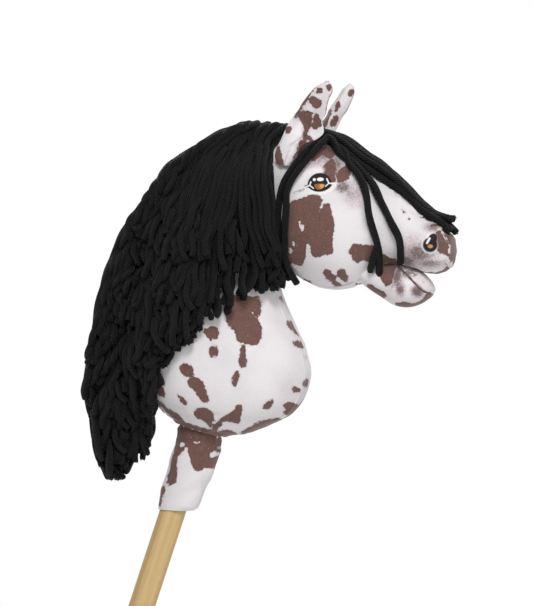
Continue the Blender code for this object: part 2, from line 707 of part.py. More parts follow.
def build_mane(drape):
    paths = {name: resampled(lock[3], 13) for name, lock in MANE_LOCKS.items()}
    names = list(paths)
    for number, (name, (part, widest, tail_depth, _)) in enumerate(MANE_LOCKS.items()):
        path = paths[name]
        sides = []
        for other in (number + 1, number - 1):
            if 0 <= other < len(names):
                rooms = [distance_to_path(p, paths[names[other]]) / 2 - LOCK_GAP for p in path]
                sides.append([min(widest, room) for room in rooms])
            else:
                sides.append([min(widest, EDGE_LOCK_HALF_WIDTH)] * len(path))
        least, depths = [], []
        for i, (x, z) in enumerate(path):
            least.append(float(np.interp(z, MANE_TAIL_FALL[::-1], [MANE_TAIL_Y, MANE_ROOT_Y])))
            down = i / (len(path) - 1)
            depths.append(MANE_HALF_THICKNESS + (tail_depth - MANE_HALF_THICKNESS) * down**2)
        low, high = MANE_SLABS[part]
        rings = lock_rings(
            [placed(x, 0.0, z) for x, z in path],
            [(0.0, -1.0, 0.0)] * len(path),
            *[soft_ends(side, 0.8, 0.6) for side in sides],
            soft_ends(depths, 0.75, 0.6),
            limits=(low + HEM[0], high + HEM[0]),
        )
        shape = lofted(drape.hang(rings, LOCK_REST_GAP, least))
        add_solid(name, *shape, look="yarn", body="mane_" + part)


def build_cheek_lock(drape):
    path = resampled(CHEEK_LOCK, 10)
    widths = soft_ends([CHEEK_LOCK_HALF_WIDTH] * len(path), 0.7, 0.5)
    depths = soft_ends([CHEEK_LOCK_HALF_THICKNESS] * len(path), 0.7, 0.5)
    limits = (MANE_SLABS["front"][1] + LOCK_GAP + HEM[0], 400.0 + HEM[0])
    centres = [placed(x, 0.0, z) for x, z in path]
    rings = lock_rings(centres, [(0.0, -1.0, 0.0)] * len(path), widths, widths, depths, limits=limits)
    add_solid("cheek_lock", *lofted(drape.hang(rings, LOCK_REST_GAP, [0.0] * len(path))), look="yarn")


def build_mane_roots(skin):
    crest = (COLUMN_CREST, COLUMN_CREST + GUSSET_CELLS)
    tape = skin.block((9, SEAM_POLL - 1), (crest[0] + 1, crest[1] - 1))
    tape = thickened(skin, tape, LAYER_GAP + TAPE_THICKNESS, LAYER_GAP, SEAM_GAP)
    add_solid("mane_tape", *tape, look="tape")
    low = 2 * LAYER_GAP + TAPE_THICKNESS

    def height(corner):
        ring, column = divmod(corner, COLUMNS)
        edge = abs(column - COLUMN_CREST - GUSSET_CELLS / 2) / (GUSSET_CELLS / 2)
        return low + MANE_RIDGE[ring] * (1.0 - 0.55 * edge**2)

    block = skin.block((min(MANE_RIDGE), SEAM_POLL), crest)
    roots = thickened(skin, block, height, low, SEAM_GAP)
    add_solid("mane_roots", *roots, look="yarn")
    band = skin.block((SEAM_POLL + 1, SEAM_POLL + 2), (crest[0] + 1, crest[1] - 1))
    tape = thickened(skin, band, LAYER_GAP + TAPE_THICKNESS, LAYER_GAP, 3 * SEAM_GAP)
    add_solid("forelock_tape", *tape, look="tape")
    return roots


def build_forelock(drape):
    reach = FORELOCK_HALF_WIDTH
    for name, (y, across, free_end) in FORELOCK_LOCKS.items():
        centres, ways = [], []
        for x in across:
            found = [drape.top(x + dx, y + dy) for dx in (-4.0, 0.0, 4.0) for dy in (-reach, 0.0, reach)]
            normal = np.mean([f[1] for f in found], axis=0)
            normal[1] = 0.0
            normal = normal / np.linalg.norm(normal)
            point, _ = drape.top(x, y)
            lift = max(float(np.dot(f[0] - point, normal)) for f in found)
            centres.append(point + normal * (lift + FORELOCK_GAP + LOCK_HALF_THICKNESS))
            ways.append(normal)
        for x, z in free_end:
            centres.append(placed(x, y, z))
            ways.append(ways[-1])
        widths = soft_ends([reach] * len(centres), 0.8, 0.5)
        depths = soft_ends([LOCK_HALF_THICKNESS] * len(centres), 0.8, 0.5)
        rings = lock_rings(centres, ways, widths, widths, depths)
        add_solid(name, *lofted(rings), look="yarn", body="forelock")
    for name, path in FORELOCK_STRANDS.items():
        line = resampled(path, 12)
        radii = soft_ends([STRAND_RADIUS] * len(line), 0.8, 0.8)
        centres = [placed(x, 0.0, z) for x, z in line]
        rings = lock_rings(centres, [(0.0, -1.0, 0.0)] * len(line), radii, radii, radii, sides=STRAND_SIDES)
        rings = drape.hang(rings, STRAND_REST_GAP, [FORELOCK_SIDE] * len(line))
        for i, ring in enumerate(rings):
            for point in ring:
                point[1] -= FORELOCK_SWING_ROOM * min(1.0, i / 4)
        add_solid(name, *lofted(rings), look="yarn", body="forelock")


def ear_surface(side, s, t, lift):
    """A point of the ear: s runs from base to tip, t from edge to edge, lift is out of the cup."""
    base = placed(*EAR_BASE)
    tip = placed(*EAR_TIP)
    length = np.linalg.norm(tip - base)
    axis = (tip - base) / length
    opening = np.array(EAR_OPENING)
    opening = opening - axis * np.dot(opening, axis)
    opening = opening / np.linalg.norm(opening)
    across = np.cross(axis, opening)
    half = np.interp(s, [o[0] for o in EAR_OUTLINE], [o[1] / 2 for o in EAR_OUTLINE])
    cup = EAR_CUP * (half / 17.0) ** 1.5
    point = base + axis * (length * s) + across * half * t + opening * (cup * t * t + lift)
    return np.array([point[0], point[1] * side, point[2]])


def ear_puff(s, t):
    return EAR_PUFF * (1 - t**4) * math.sin(math.pi * min(1.0, max(0.0, 0.08 + 0.86 * s))) ** 0.5


def ear_sheet(side, steps, turns, lift):
    """The points and faces of one open layer of the ear."""
    points = [ear_surface(side, s, t, lift(s, t)) for s in steps for t in turns]
    wide = len(turns)
    faces = []
    for i in range(len(steps) - 1):
        for j in range(wide - 1):
            a, b, c, d = i * wide + j, i * wide + j + 1, (i + 1) * wide + j + 1, (i + 1) * wide + j
            faces += [(a, b, c), (a, c, d)]
    return points, faces


def build_ear(name, side):
    steps = [o[0] for o in EAR_OUTLINE]
    turns = [2 * k / EAR_CELLS - 1 for k in range(EAR_CELLS + 1)]
    gap = SEAM_GAP / 2
    ahead = Vector((EAR_OPENING[0], EAR_OPENING[1] * side, EAR_OPENING[2]))
    layers = {"front_panel": (1, "brown_cloth"), "back_panel": (-1, "cloth")}
    for layer, (way, look) in layers.items():
        sheet = ear_sheet(side, steps, turns, lambda s, t: way * (gap + ear_puff(s, t)))
        obj = add_solid(f"{name}_{layer}", *sheet, look=look, body=name, closed=False)
        if sum(face.normal.dot(ahead) * face.area for face in obj.data.polygons) * way < 0:
            obj.data.flip_normals()
        solidify(obj, 1.0)
    inner_steps = steps[1:-1]
    inner_turns = [t * 0.7 for t in turns]
    high, faces = ear_sheet(side, inner_steps, inner_turns, lambda s, t: ear_puff(s, t) - LAYER_GAP)
    low, _ = ear_sheet(side, inner_steps, inner_turns, lambda s, t: LAYER_GAP - ear_puff(s, t))
    rows, wide = len(inner_steps), len(inner_turns)
    size = rows * wide
    rim = list(range(wide)) + [i * wide + wide - 1 for i in range(1, rows)]
    rim += [(rows - 1) * wide + j for j in range(wide - 2, -1, -1)]
    rim += [i * wide for i in range(rows - 2, 0, -1)]
    faces = faces + [tuple(size + corner for corner in face[::-1]) for face in faces]
    for a, b in zip(rim, rim[1:] + rim[:1]):
        faces += [(b, a, size + a), (b, size + a, size + b)]
    add_solid(name + "_wadding", high + low, faces, look="filling", body=name)


def build_frames():
    """The empties that the pieces hang on: one for the horse and one on each joint's axis."""
    root = bpy.data.objects.new("root_frame", None)
    bpy.data.collections["hobby_horse"].objects.link(root)
    for body in HINGES:
        frame = bpy.data.objects.new(body + "_frame", None)
        frame.parent = root
        frame.location = Vector(hinge_point(body) * MM)
        bpy.data.collections["hobby_horse"].objects.link(frame)


def main():
    clear_scene()
    add_collection("hobby_horse")
    add_collection("cutters")
    build_frames()
    skin = Skin()
    bore = build_pole()
    build_bag(skin, bore)
    build_jaw(skin)
    jaw = lofted([jaw_ring(row, 0.0) for row in JAW_ROWS])
    drape = Drape(skin, [build_mane_roots(skin), jaw])
    build_mane(drape)
    build_cheek_lock(drape)
    build_forelock(drape)
    build_ear("ear_near", 1)
    build_ear("ear_far", -1)


main()
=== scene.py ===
"""Dresses the hobby horse: a stuffed cloth head on a pole, with a mane and forelock of thick yarn."""

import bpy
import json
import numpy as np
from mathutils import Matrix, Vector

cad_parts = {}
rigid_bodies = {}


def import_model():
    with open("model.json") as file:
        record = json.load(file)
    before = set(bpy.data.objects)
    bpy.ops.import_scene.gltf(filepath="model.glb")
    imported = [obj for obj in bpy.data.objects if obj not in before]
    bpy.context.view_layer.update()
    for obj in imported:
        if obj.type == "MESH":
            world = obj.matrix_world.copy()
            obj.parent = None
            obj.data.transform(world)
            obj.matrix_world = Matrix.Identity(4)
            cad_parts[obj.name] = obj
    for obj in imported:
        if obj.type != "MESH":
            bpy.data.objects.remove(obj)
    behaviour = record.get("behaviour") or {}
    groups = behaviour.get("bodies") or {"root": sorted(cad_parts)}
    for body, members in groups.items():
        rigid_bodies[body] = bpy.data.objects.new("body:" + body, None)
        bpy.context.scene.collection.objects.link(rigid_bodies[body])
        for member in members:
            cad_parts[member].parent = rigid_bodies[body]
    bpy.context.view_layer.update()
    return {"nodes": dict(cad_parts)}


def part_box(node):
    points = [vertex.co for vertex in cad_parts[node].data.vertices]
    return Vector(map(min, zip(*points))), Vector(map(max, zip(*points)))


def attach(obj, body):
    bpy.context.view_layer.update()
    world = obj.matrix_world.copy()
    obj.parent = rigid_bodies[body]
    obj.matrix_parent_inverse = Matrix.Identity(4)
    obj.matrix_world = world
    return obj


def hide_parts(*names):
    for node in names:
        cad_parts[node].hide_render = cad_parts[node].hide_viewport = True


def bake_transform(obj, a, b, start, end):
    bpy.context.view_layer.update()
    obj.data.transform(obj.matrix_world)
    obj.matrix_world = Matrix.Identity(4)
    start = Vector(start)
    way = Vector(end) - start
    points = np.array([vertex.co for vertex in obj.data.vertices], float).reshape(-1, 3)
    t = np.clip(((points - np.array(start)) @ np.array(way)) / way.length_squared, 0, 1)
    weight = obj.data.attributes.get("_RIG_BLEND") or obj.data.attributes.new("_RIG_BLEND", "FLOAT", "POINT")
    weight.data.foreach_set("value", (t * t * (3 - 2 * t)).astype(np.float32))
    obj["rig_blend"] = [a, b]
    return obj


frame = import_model()

import json
import math
import random
from types import SimpleNamespace

import bmesh
import bpy
import numpy as np
from mathutils import Matrix, Vector, noise
from mathutils.bvhtree import BVHTree
from mathutils.kdtree import KDTree

bl_info = {
    "name": "Hobby horse",
    "version": (1, 0, 0),
    "blender": (4, 5, 0),
    "location": "3D View > Sidebar > Hobby horse",
    "description": "Sews, stuffs and finishes a cloth hobby horse on its packed frame",
    "category": "Add Mesh",
}

# Everything below is in millimetres from the middle of the sleeve's hem: x ahead, z up, and -y is
# the near side. place() takes it to the frame, in metres from the pole's foot.
MM = 0.001
# Corners of the cloth and of its filling that lie closer than this, in metres, are welded.
WELD = 2e-5
JAW_FILLING_WELD = 2e-4
YARN_WELD = 2e-6
POLE_DIAMETER = 25.0
POLE_FREE_LENGTH = 562.0
POLE_INSERTED_LENGTH = 290.0
POLE_LEAN = math.radians(18.4)
UP_POLE = np.array([math.sin(POLE_LEAN), 0.0, math.cos(POLE_LEAN)])
AHEAD_OF_POLE = np.array([math.cos(POLE_LEAN), 0.0, -math.sin(POLE_LEAN)])
HEM = UP_POLE * POLE_FREE_LENGTH

# The sleeve, from its hem up: where its front and back edges are along the pole and how far they
# stand off it, and how far its sides do.
SLEEVE_ROWS = [
    (8.2, 8.9, -0.8, 2.2, 2.5),
    (23.1, 10.7, 13.0, 3.8, 3.7),
    (37.8, 12.0, 30.8, 5.4, 5.1),
    (53.5, 13.0, 49.3, 5.3, 6.9),
    (69.1, 14.0, 66.5, 5.8, 9.1),
]
# The stuffed bag, row by row from the sleeve to the nose: (x, z) of its front edge, (x, z) of its
# crest edge, and its half width.
BAG_ROWS = [
    (49.0, 72.8, 6.6, 85.4, 24.0),
    (74.6, 77.6, -6.2, 97.0, 38.0),
    (98.2, 85.4, -16.1, 106.7, 48.0),
    (117.9, 97.0, -24.9, 119.3, 56.0),
    (129.7, 112.5, -31.8, 135.8, 61.0),
    (135.6, 134.8, -34.8, 158.1, 63.0),
    (131.7, 157.1, -33.8, 181.4, 62.0),
    (121.8, 179.4, -29.8, 206.6, 58.0),
    (112.0, 200.8, -24.0, 234.0, 54.0),
    (106.1, 219.2, -17.0, 263.5, 50.0),
    (105.1, 231.8, -4.0, 293.0, 47.0),
    (106.1, 237.7, 15.5, 320.0, 45.0),
    (108.1, 239.6, 40.0, 343.0, 44.0),
    (110.0, 239.6, 68.0, 356.5, 45.0),
    (113.0, 237.7, 94.3, 363.0, 48.0),
    (119.9, 231.8, 115.9, 364.7, 53.0),
    (131.7, 225.0, 135.6, 364.7, 57.0),
    (147.5, 218.2, 155.3, 360.8, 58.0),
    (165.2, 216.3, 174.0, 351.1, 56.0),
    (182.9, 220.2, 191.8, 338.5, 50.0),
    (200.6, 229.9, 208.5, 325.9, 44.0),
    (218.4, 238.6, 225.3, 313.3, 39.0),
    (235.1, 236.7, 241.0, 299.7, 37.0),
    (251.0, 232.4, 255.8, 287.1, 35.0),
    (264.0, 232.0, 266.6, 279.4, 31.0),
    (272.8, 237.0, 273.7, 270.6, 23.5),
]
SECTION_POWER = 0.9
GUSSET_HALF_WIDTH = 18.0
GUSSET_SHARE = 0.7
NOSE_BULGE = 4.8
# Cells of each skin in a row, up a side and over a gusset.
TRIAL_CELLS = (3, 18, 6)
CLOTH_CELLS = (9, 52, 20)
FILLING_CELLS = (2, 14, 4)
# The turned-in hem: how far its edge is drawn in all round, how much more at the front, and the
# height that it takes. Then the height of the sleeve's wrinkles.
HEM_TUCK = 0.8
HEM_FRONT_TUCK = 2.2
HEM_HEIGHT = 2.6
SLEEVE_WRINKLE = 0.75

# Rows where one panel is sewn to the next, counted from the hem.
SLEEVE_SEAM = 5
BASE_SEAM = 6
THROAT_SEAM = 16
POLL_SEAM = 19
STUFFING_SEAM = 20
LIP_SEAM = 24
NOSE_ROW = 30

# Round the bag, a place is a number from 0 to 4: 0 to 1 up the near side, 1 to 2 over the crest,
# 2 to 3 down the far side and 3 to 4 back across the front.
NEAR, CREST, FAR, FRONT = range(4)
PANELS = [
    "sleeve_near",
    "sleeve_far",
    "base_panel",
    "side_panel_near",
    "side_panel_far",
    "chest_gusset",
    "under_jaw_gusset",
    "upper_lip_lining",
    "crest_gusset",
    "forehead_gusset",
]

# The lower jaw, row by row to its tip: (x, z) under it, (x, z) over it, its half width, and how
# far round from the top the lip's seam runs, in degrees.
JAW_ROWS = [
    (178.0, 229.0, 187.0, 247.0, 24.0, 10.0),
    (194.5, 217.0, 203.0, 244.0, 27.5, 12.0),
    (207.0, 209.0, 215.0, 242.0, 30.5, 16.0),
    (219.0, 201.5, 226.0, 240.5, 32.0, 28.0),
    (232.0, 199.5, 237.0, 238.0, 30.0, 54.0),
    (243.5, 202.5, 246.0, 233.5, 26.0, 82.0),
    (251.5, 207.5, 252.5, 227.0, 20.0, 106.0),
    (256.0, 212.5, 256.8, 220.5, 12.0, 130.0),
    (258.5, 216.5, 258.5, 216.5, 0.0, 130.0),
]
JAW_TIP_ROW = 7


def place(points):
    """Millimetres from the hem to metres in the frame."""
    return (np.asarray(points, float) + HEM) * MM


def powered(values, power):
    return np.sign(values) * np.abs(values) ** power


def smooth_rows(rows, at):
    """Values on a smooth curve through evenly numbered rows."""
    rows = np.asarray(rows, float)
    ends = np.vstack([2 * rows[:1] - rows[1:2], rows, 2 * rows[-1:] - rows[-2:-1]])
    at = np.clip(np.asarray(at, float), 0, len(rows) - 1)
    first = np.minimum(at.astype(int), len(rows) - 2)
    part = (at - first)[:, None]
    p0, p1, p2, p3 = (ends[first + k] for k in range(4))
    curve = 2 * p1 + (p2 - p0) * part + (2 * p0 - 5 * p1 + 4 * p2 - p3) * part**2
    return 0.5 * (curve + (3 * p1 - p0 - 3 * p2 + p3) * part**3)


def bag_rows():
    rows = []
    for front_up, front_room, back_up, back_room, side_room in SLEEVE_ROWS:
        front = UP_POLE * front_up + AHEAD_OF_POLE * (POLE_DIAMETER / 2 + front_room)
        back = UP_POLE * back_up - AHEAD_OF_POLE * (POLE_DIAMETER / 2 + back_room)
        rows.append((front[0], front[2], back[0], back[2], POLE_DIAMETER / 2 + side_room))
    return rows + BAG_ROWS


def bag_points(rows, rounds):
    """Points of the bag for each row number and each place round it: an array of rows by places."""
    px, pz, qx, qz, half = smooth_rows(bag_rows(), rows).T[:, :, None]
    seam = np.arcsin(np.minimum(GUSSET_HALF_WIDTH / half, GUSSET_SHARE) ** (1 / SECTION_POWER))
    region = np.minimum(np.asarray(rounds, float).astype(int), 3)
    part = np.asarray(rounds, float) - region
    start = np.choose(region, [seam, math.pi - seam, math.pi + seam, 2 * math.pi - seam])
    span = np.where(region % 2 == 0, math.pi - 2 * seam, 2 * seam)
    angle = start + span * part
    along = powered(np.cos(angle), SECTION_POWER)
    x = (px + qx) / 2 + (px - qx) / 2 * along
    z = (pz + qz) / 2 + (pz - qz) / 2 * along
    return np.stack([x, -half * powered(np.sin(angle), SECTION_POWER), z], axis=2)


def nose_points(ups, across):
    """The nose's front, from its lower edge up and from near to far, hung from its four edges."""
    up = np.asarray(ups)[:, None, None]
    over = np.asarray(across)[None, :, None]
    near = bag_points([NOSE_ROW], ups)[0][:, None]
    far = bag_points([NOSE_ROW], 3.0 - np.asarray(ups))[0][:, None]
    low = bag_points([NOSE_ROW], 4.0 - np.asarray(across))[0][None]
    high = bag_points([NOSE_ROW], 1.0 + np.asarray(across))[0][None]
    points = (1 - over) * near + over * far + (1 - up) * low + up * high
    points -= (1 - up) * ((1 - over) * low[:, :1] + over * low[:, -1:])
    points -= up * ((1 - over) * high[:, :1] + over * high[:, -1:])
    bottom, top, half = BAG_ROWS[-1][1], BAG_ROWS[-1][3], BAG_ROWS[-1][4]
    away = np.hypot((points[..., 2] - (bottom + top) / 2) / ((top - bottom) / 2), points[..., 1] / half)
    points[..., 0] += NOSE_BULGE * np.sqrt(np.maximum(0.0, 1 - away**2))
    return points


def jaw_points(rows, rounds):
    """The lower jaw: places 0 to 1 cross its lining, and 1 to 2 go round under it."""
    bx, bz, tx, tz, half, seam = smooth_rows(JAW_ROWS, rows).T[:, :, None]
    half = np.maximum(half, 0.0)
    seam = np.radians(seam)
    region = np.minimum(np.asarray(rounds, float).astype(int), 1)
    part = np.asarray(rounds, float) - region
    angle = np.where(region == 0, -seam + 2 * seam * part, seam + (2 * math.pi - 2 * seam) * part)
    along = powered(np.cos(angle), SECTION_POWER)
    x = (bx + tx) / 2 + (tx - bx) / 2 * along
    z = (bz + tz) / 2 + (tz - bz) / 2 * along
    return np.stack([x, -half * powered(np.sin(angle), SECTION_POWER), z], axis=2)


def add_object(name, mesh, *materials):
    obj = bpy.data.objects.new(name, mesh)
    bpy.context.scene.collection.objects.link(obj)
    for material in materials:
        mesh.materials.append(material)
    return obj


def mesh_from(name, bm):
    mesh = bpy.data.meshes.new(name)
    bm.to_mesh(mesh)
    bm.free()
    return mesh


def add_smooth(name, bm, material):
    """Turns a finished bmesh into an object with smooth faces."""
    mesh = mesh_from(name, bm)
    mesh.polygons.foreach_set("use_smooth", [True] * len(mesh.polygons))
    return add_object(name, mesh, material)


def shaped_grid(bm, points):
    """Adds a grid of quads laid on an array of points, and returns its corners as rows of corners."""
    rows, columns = len(points) - 1, len(points[0]) - 1
    made = bmesh.ops.create_grid(bm, x_segments=columns, y_segments=rows, size=1.0, calc_uvs=True)
    corners = [[None] * (columns + 1) for _ in range(rows + 1)]
    for corner in made["verts"]:
        row = round((corner.co.y + 1) / 2 * rows)
        column = round((corner.co.x + 1) / 2 * columns)
        corner.co = points[row][column]
        corners[row][column] = corner
    return corners


def marked_bmesh(*names):
    """A bmesh whose corners can each carry some named numbers."""
    bm = bmesh.new()
    for name in names:
        bm.verts.layers.float.new(name)
    bm.faces.layers.int.new("panel")
    return bm


def fill_layer(bm, name, corners, values):
    layer = bm.verts.layers.float[name]
    for corner_row, value_row in zip(corners, values):
        for corner, value in zip(corner_row, value_row):
            corner[layer] = value


def runs_along(points, axis):
    """How far each point of a grid lies along its row or column."""
    steps = np.linalg.norm(np.diff(points, axis=axis), axis=2)
    start = np.zeros_like(np.take(steps, [0], axis=axis))
    return np.concatenate([start, np.cumsum(steps, axis=axis)], axis=axis)


def grid_normals(points, closed):
    """The outward normal at each point of a grid, of which the columns may close on themselves."""
    down = np.gradient(points, axis=0)
    across = np.gradient(points, axis=1)
    if closed:
        turn = (points[:, 1] - points[:, -2]) / 2
        across[:, 0] = turn
        across[:, -1] = turn
    normals = np.cross(down, across)
    return normals / np.maximum(np.linalg.norm(normals, axis=2), 1e-9)[..., None]


def hump(values, middle, width):
    """1 at the middle, and smoothly down to nothing a few widths away."""
    return np.exp(-(((values - middle) / width) ** 2))


def seam_height(cloth, away, along, strength, number):
    """How far the cloth stands up or sinks in beside a seam: the groove, the roll and the puckers."""
    groove = hump(away, 0.0, cloth.seam_width) * cloth.seam_depth
    roll = hump(away, 2.6 * cloth.seam_width, 1.6 * cloth.seam_width) * 0.35
    turn = 2 * math.pi * along / cloth.pucker_length + 2.3 * number
    wave = np.sin(turn + 1.9 * np.sin(turn / 4.3 + number)) + 0.5 * np.sin(turn * 1.7 + 2.0 * number)
    reach = np.exp(-away / cloth.pucker_reach) * (1 - 0.6 * hump(away, 0.0, cloth.seam_width))
    return strength * (roll - groove + wave * reach * cloth.pucker_height)


class Skin:
    """The outside of the sewn bag as two grids: the tube from the hem to the nose, and the nose."""

    def __init__(self, row_cells, side_cells, gusset_cells):
        self.rows = np.linspace(0, NOSE_ROW, NOSE_ROW * row_cells + 1)
        cells = [side_cells, gusset_cells, side_cells, gusset_cells]
        spans = [region + np.arange(count) / count for region, count in enumerate(cells)]
        self.rounds = np.append(np.concatenate(spans), 4.0)
        self.tube = bag_points(self.rows, self.rounds)
        self.normals = grid_normals(self.tube, True)
        self.ups = np.arange(side_cells + 1) / side_cells
        self.across = np.arange(gusset_cells + 1) / gusset_cells
        self.nose = nose_points(self.ups, self.across)
        self.nose_normals = -grid_normals(self.nose, False)

    def column(self, place_round):
        return int(np.argmin(np.abs(self.rounds - place_round)))

    def row(self, number):
        return int(np.argmin(np.abs(self.rows - number)))

    def lift(self, heights, nose_heights):
        """Moves the cloth out by so many millimetres at each point."""
        self.tube = self.tube + self.normals * heights[..., None]
        self.nose = self.nose + self.nose_normals * nose_heights[..., None]
        last = self.tube[-1]
        side = len(self.ups) - 1
        gusset = len(self.across) - 1
        self.nose[:, 0] = last[: side + 1]
        self.nose[:, -1] = last[2 * side + gusset : side + gusset - 1 : -1]
        self.nose[-1] = last[side : side + gusset + 1]
        self.nose[0] = last[2 * side + gusset :][::-1]

    def sew(self, cloth):
        """Sinks the seams and puckers the cloth beside them."""
        rows = self.rows[:, None]
        rounds = self.rounds[None, :]
        around = runs_along(self.tube, 1)
        length = around[:, -1:]
        up = runs_along(self.tube, 0)
        heights = np.zeros(self.tube.shape[:2])
        seams = [(float(place_round), rows >= BASE_SEAM) for place_round in range(4)]
        seams += [(1.5, rows <= SLEEVE_SEAM), (3.5, rows <= SLEEVE_SEAM)]
        for number, (place_round, shown) in enumerate(seams):
            column = self.column(place_round)
            away = np.abs(around - around[:, column : column + 1])
            away = np.minimum(away, length - away)
            along = up[:, column : column + 1] + 0 * away
            strength = np.where(shown, 1.0, 0.0) * (0.35 if number > 3 else 1.0)
            if number in (0, 3):
                strength = strength * np.interp(self.rows, (7, 8.5, 22, 24), (0.3, 0, 0, 0.8))[:, None]
            heights += seam_height(cloth, away, along, strength, number)
        front = (rounds >= 3) | (rounds == 0)
        crest = (rounds >= 1) & (rounds <= 2)
        cross_seams = [
            (SLEEVE_SEAM, rounds >= 0, 1.25),
            (BASE_SEAM, rounds >= 0, 0.3),
            (THROAT_SEAM, front, 0.8),
            (POLL_SEAM, crest, 0.8),
            (LIP_SEAM, front, 0.8),
            (NOSE_ROW, front | ((rounds <= 1) | ((rounds >= 2) & (rounds <= 3))), 1.0),
        ]
        for number, (row_number, shown, strength) in enumerate(cross_seams):
            row = self.row(row_number)
            away = np.abs(up - up[row : row + 1])
            along = around[row : row + 1] + 0 * away
            heights += seam_height(cloth, away, along, np.where(shown, strength, 0.0), 7 + number)
            if row_number == SLEEVE_SEAM:
                below = np.clip(1 - away / 22, 0, 1) * (rows < SLEEVE_SEAM)
                heights += below * np.sin(along / 2.6 + 2.2 * np.sin(along / 7.0) + away / 9) * 0.7
        hem = HEM_TUCK + HEM_FRONT_TUCK * np.maximum(np.cos((rounds - 3.5) * math.pi / 2), 0)
        heights -= hem * hump(up, 0.0, HEM_HEIGHT)
        wrinkle = np.sin(up / 5.5 + around / 8.5 + 1.6 * np.sin(around / 12.0))
        shown = np.clip(rows / 1.5, 0, 1) * np.clip((SLEEVE_SEAM - rows) / 2, 0, 1)
        heights += SLEEVE_WRINKLE * wrinkle * shown
        turn = around / 41 + 1.3 * np.sin(up / 53)
        slack = np.sin(turn) * np.sin(up / 37 + 1.1 * np.sin(around / 47)) * cloth.slack
        heights += slack * np.clip((rows - 2) / 6, 0, 1) * np.clip((NOSE_ROW - rows) / 4, 0, 1)
        across = runs_along(self.nose, 1)
        edge = np.minimum(across, across[:, -1:] - across)
        climb = runs_along(self.nose, 0)
        self.lift(heights, seam_height(cloth, edge, climb, 1.0, 14))

    def panel_of(self, row, place_round):
        """The panel that a cell belongs to, from its middle."""
        region = int(place_round) % 4
        if row < SLEEVE_SEAM:
            return "sleeve_near" if place_round > 3.5 or place_round < 1.5 else "sleeve_far"
        if row < BASE_SEAM:
            return "base_panel"
        if region == FRONT:
            if row < THROAT_SEAM:
                return "chest_gusset"
            return "under_jaw_gusset" if row < LIP_SEAM else "upper_lip_lining"
        if region == CREST:
            return "crest_gusset" if row < POLL_SEAM else "forehead_gusset"
        return "side_panel_near" if region == NEAR else "side_panel_far"

    def sewn(self, marks):
        """The bag as one welded bmesh in metres, with each face's panel and the marks kept on it."""
        bm = marked_bmesh("row", "round", *marks)
        panel = bm.faces.layers.int["panel"]
        row_layer = bm.verts.layers.float["row"]
        round_layer = bm.verts.layers.float["round"]
        tube = shaped_grid(bm, place(self.tube))
        nose = shaped_grid(bm, place(self.nose))
        for row, corners in zip(self.rows, tube):
            for place_round, corner in zip(self.rounds, corners):
                corner[row_layer] = row
                corner[round_layer] = place_round
        for corners in nose:
            for corner in corners:
                corner[row_layer] = NOSE_ROW + 1.0
        for face in bm.faces:
            row = sum(corner[row_layer] for corner in face.verts) / 4
            place_round = sum(corner[round_layer] for corner in face.verts) / 4
            name = "forehead_gusset" if row > NOSE_ROW else self.panel_of(row, place_round)
            face[panel] = PANELS.index(name)
        for name, (on_tube, on_nose) in marks.items():
            fill_layer(bm, name, tube, on_tube)
            fill_layer(bm, name, nose, on_nose)
        bmesh.ops.remove_doubles(bm, verts=bm.verts, dist=WELD)
        bmesh.ops.recalc_face_normals(bm, faces=bm.faces)
        middle = Vector(place([80.0, 0.0, 150.0]))
        out = sum((face.calc_center_median() - middle).dot(face.normal) for face in bm.faces)
        if out < 0:
            bmesh.ops.reverse_faces(bm, faces=bm.faces)
        return bm


def stuffed_heights(cloth):
    """How far the cloth swells between its seams when it is stuffed, as a grid over rows and rounds."""
    coarse = Skin(*TRIAL_CELLS)
    swell = np.zeros(coarse.tube.shape[:2])
    bm = coarse.sewn({})
    rows = bm.verts.layers.float["row"]
    rounds = bm.verts.layers.float["round"]
    seams = {0.0, 1.0, 2.0, 3.0, 4.0}
    rest = []
    for corner in bm.verts:
        rest.append((corner[rows], corner[rounds], corner.co.copy(), corner.normal.copy()))
    pinned = []
    for i, (row, at, _, _) in enumerate(rest):
        if row <= BASE_SEAM or row >= NOSE_ROW or at in seams:
            pinned.append(i)
    held = set(pinned)
    for i, corner in enumerate(bm.verts):
        if i not in held:
            corner.co = corner.co - corner.normal * cloth.start_inset * MM
    trial = add_object("stuffing_trial", mesh_from("stuffing_trial", bm))
    group = trial.vertex_groups.new(name="seams")
    group.add(pinned, 1.0, "REPLACE")
    modifier = trial.modifiers.new("Stuffing", "CLOTH")
    settings = modifier.settings
    settings.quality = 6
    settings.mass = 0.2
    settings.tension_stiffness = 20
    settings.compression_stiffness = 12
    settings.shear_stiffness = 8
    settings.bending_stiffness = 0.3
    settings.use_pressure = True
    settings.uniform_pressure_force = cloth.pressure
    settings.shrink_min = -cloth.fullness
    settings.vertex_group_mass = "seams"
    settings.effector_weights.gravity = 0
    modifier.point_cache.frame_end = cloth.settle_frames
    for number in range(1, cloth.settle_frames + 1):
        bpy.context.scene.frame_set(number)
    settled = trial.evaluated_get(bpy.context.evaluated_depsgraph_get()).data
    for vertex, (row, at, start, normal) in zip(settled.vertices, rest):
        if row > NOSE_ROW:
            continue
        height = (vertex.co - start).dot(normal) / MM
        height = float(np.clip(height, -cloth.largest_sink, cloth.largest_swell))
        swell[coarse.row(row), coarse.column(at)] = height
    swell[:, -1] = swell[:, 0]
    bpy.context.scene.frame_set(1)
    bpy.data.objects.remove(trial)
    return coarse, swell


def on_skin(coarse, values, fine):
    """Carries values from a coarse skin's points to a fine one's, smoothly."""
    by_row = smooth_rows(values, fine.rows / coarse.rows[-1] * (len(coarse.rows) - 1))
    columns = np.interp(fine.rounds, coarse.rounds, np.arange(len(coarse.rounds)))
    return smooth_rows(by_row.T, columns).T


WAVE_PHASE = 20


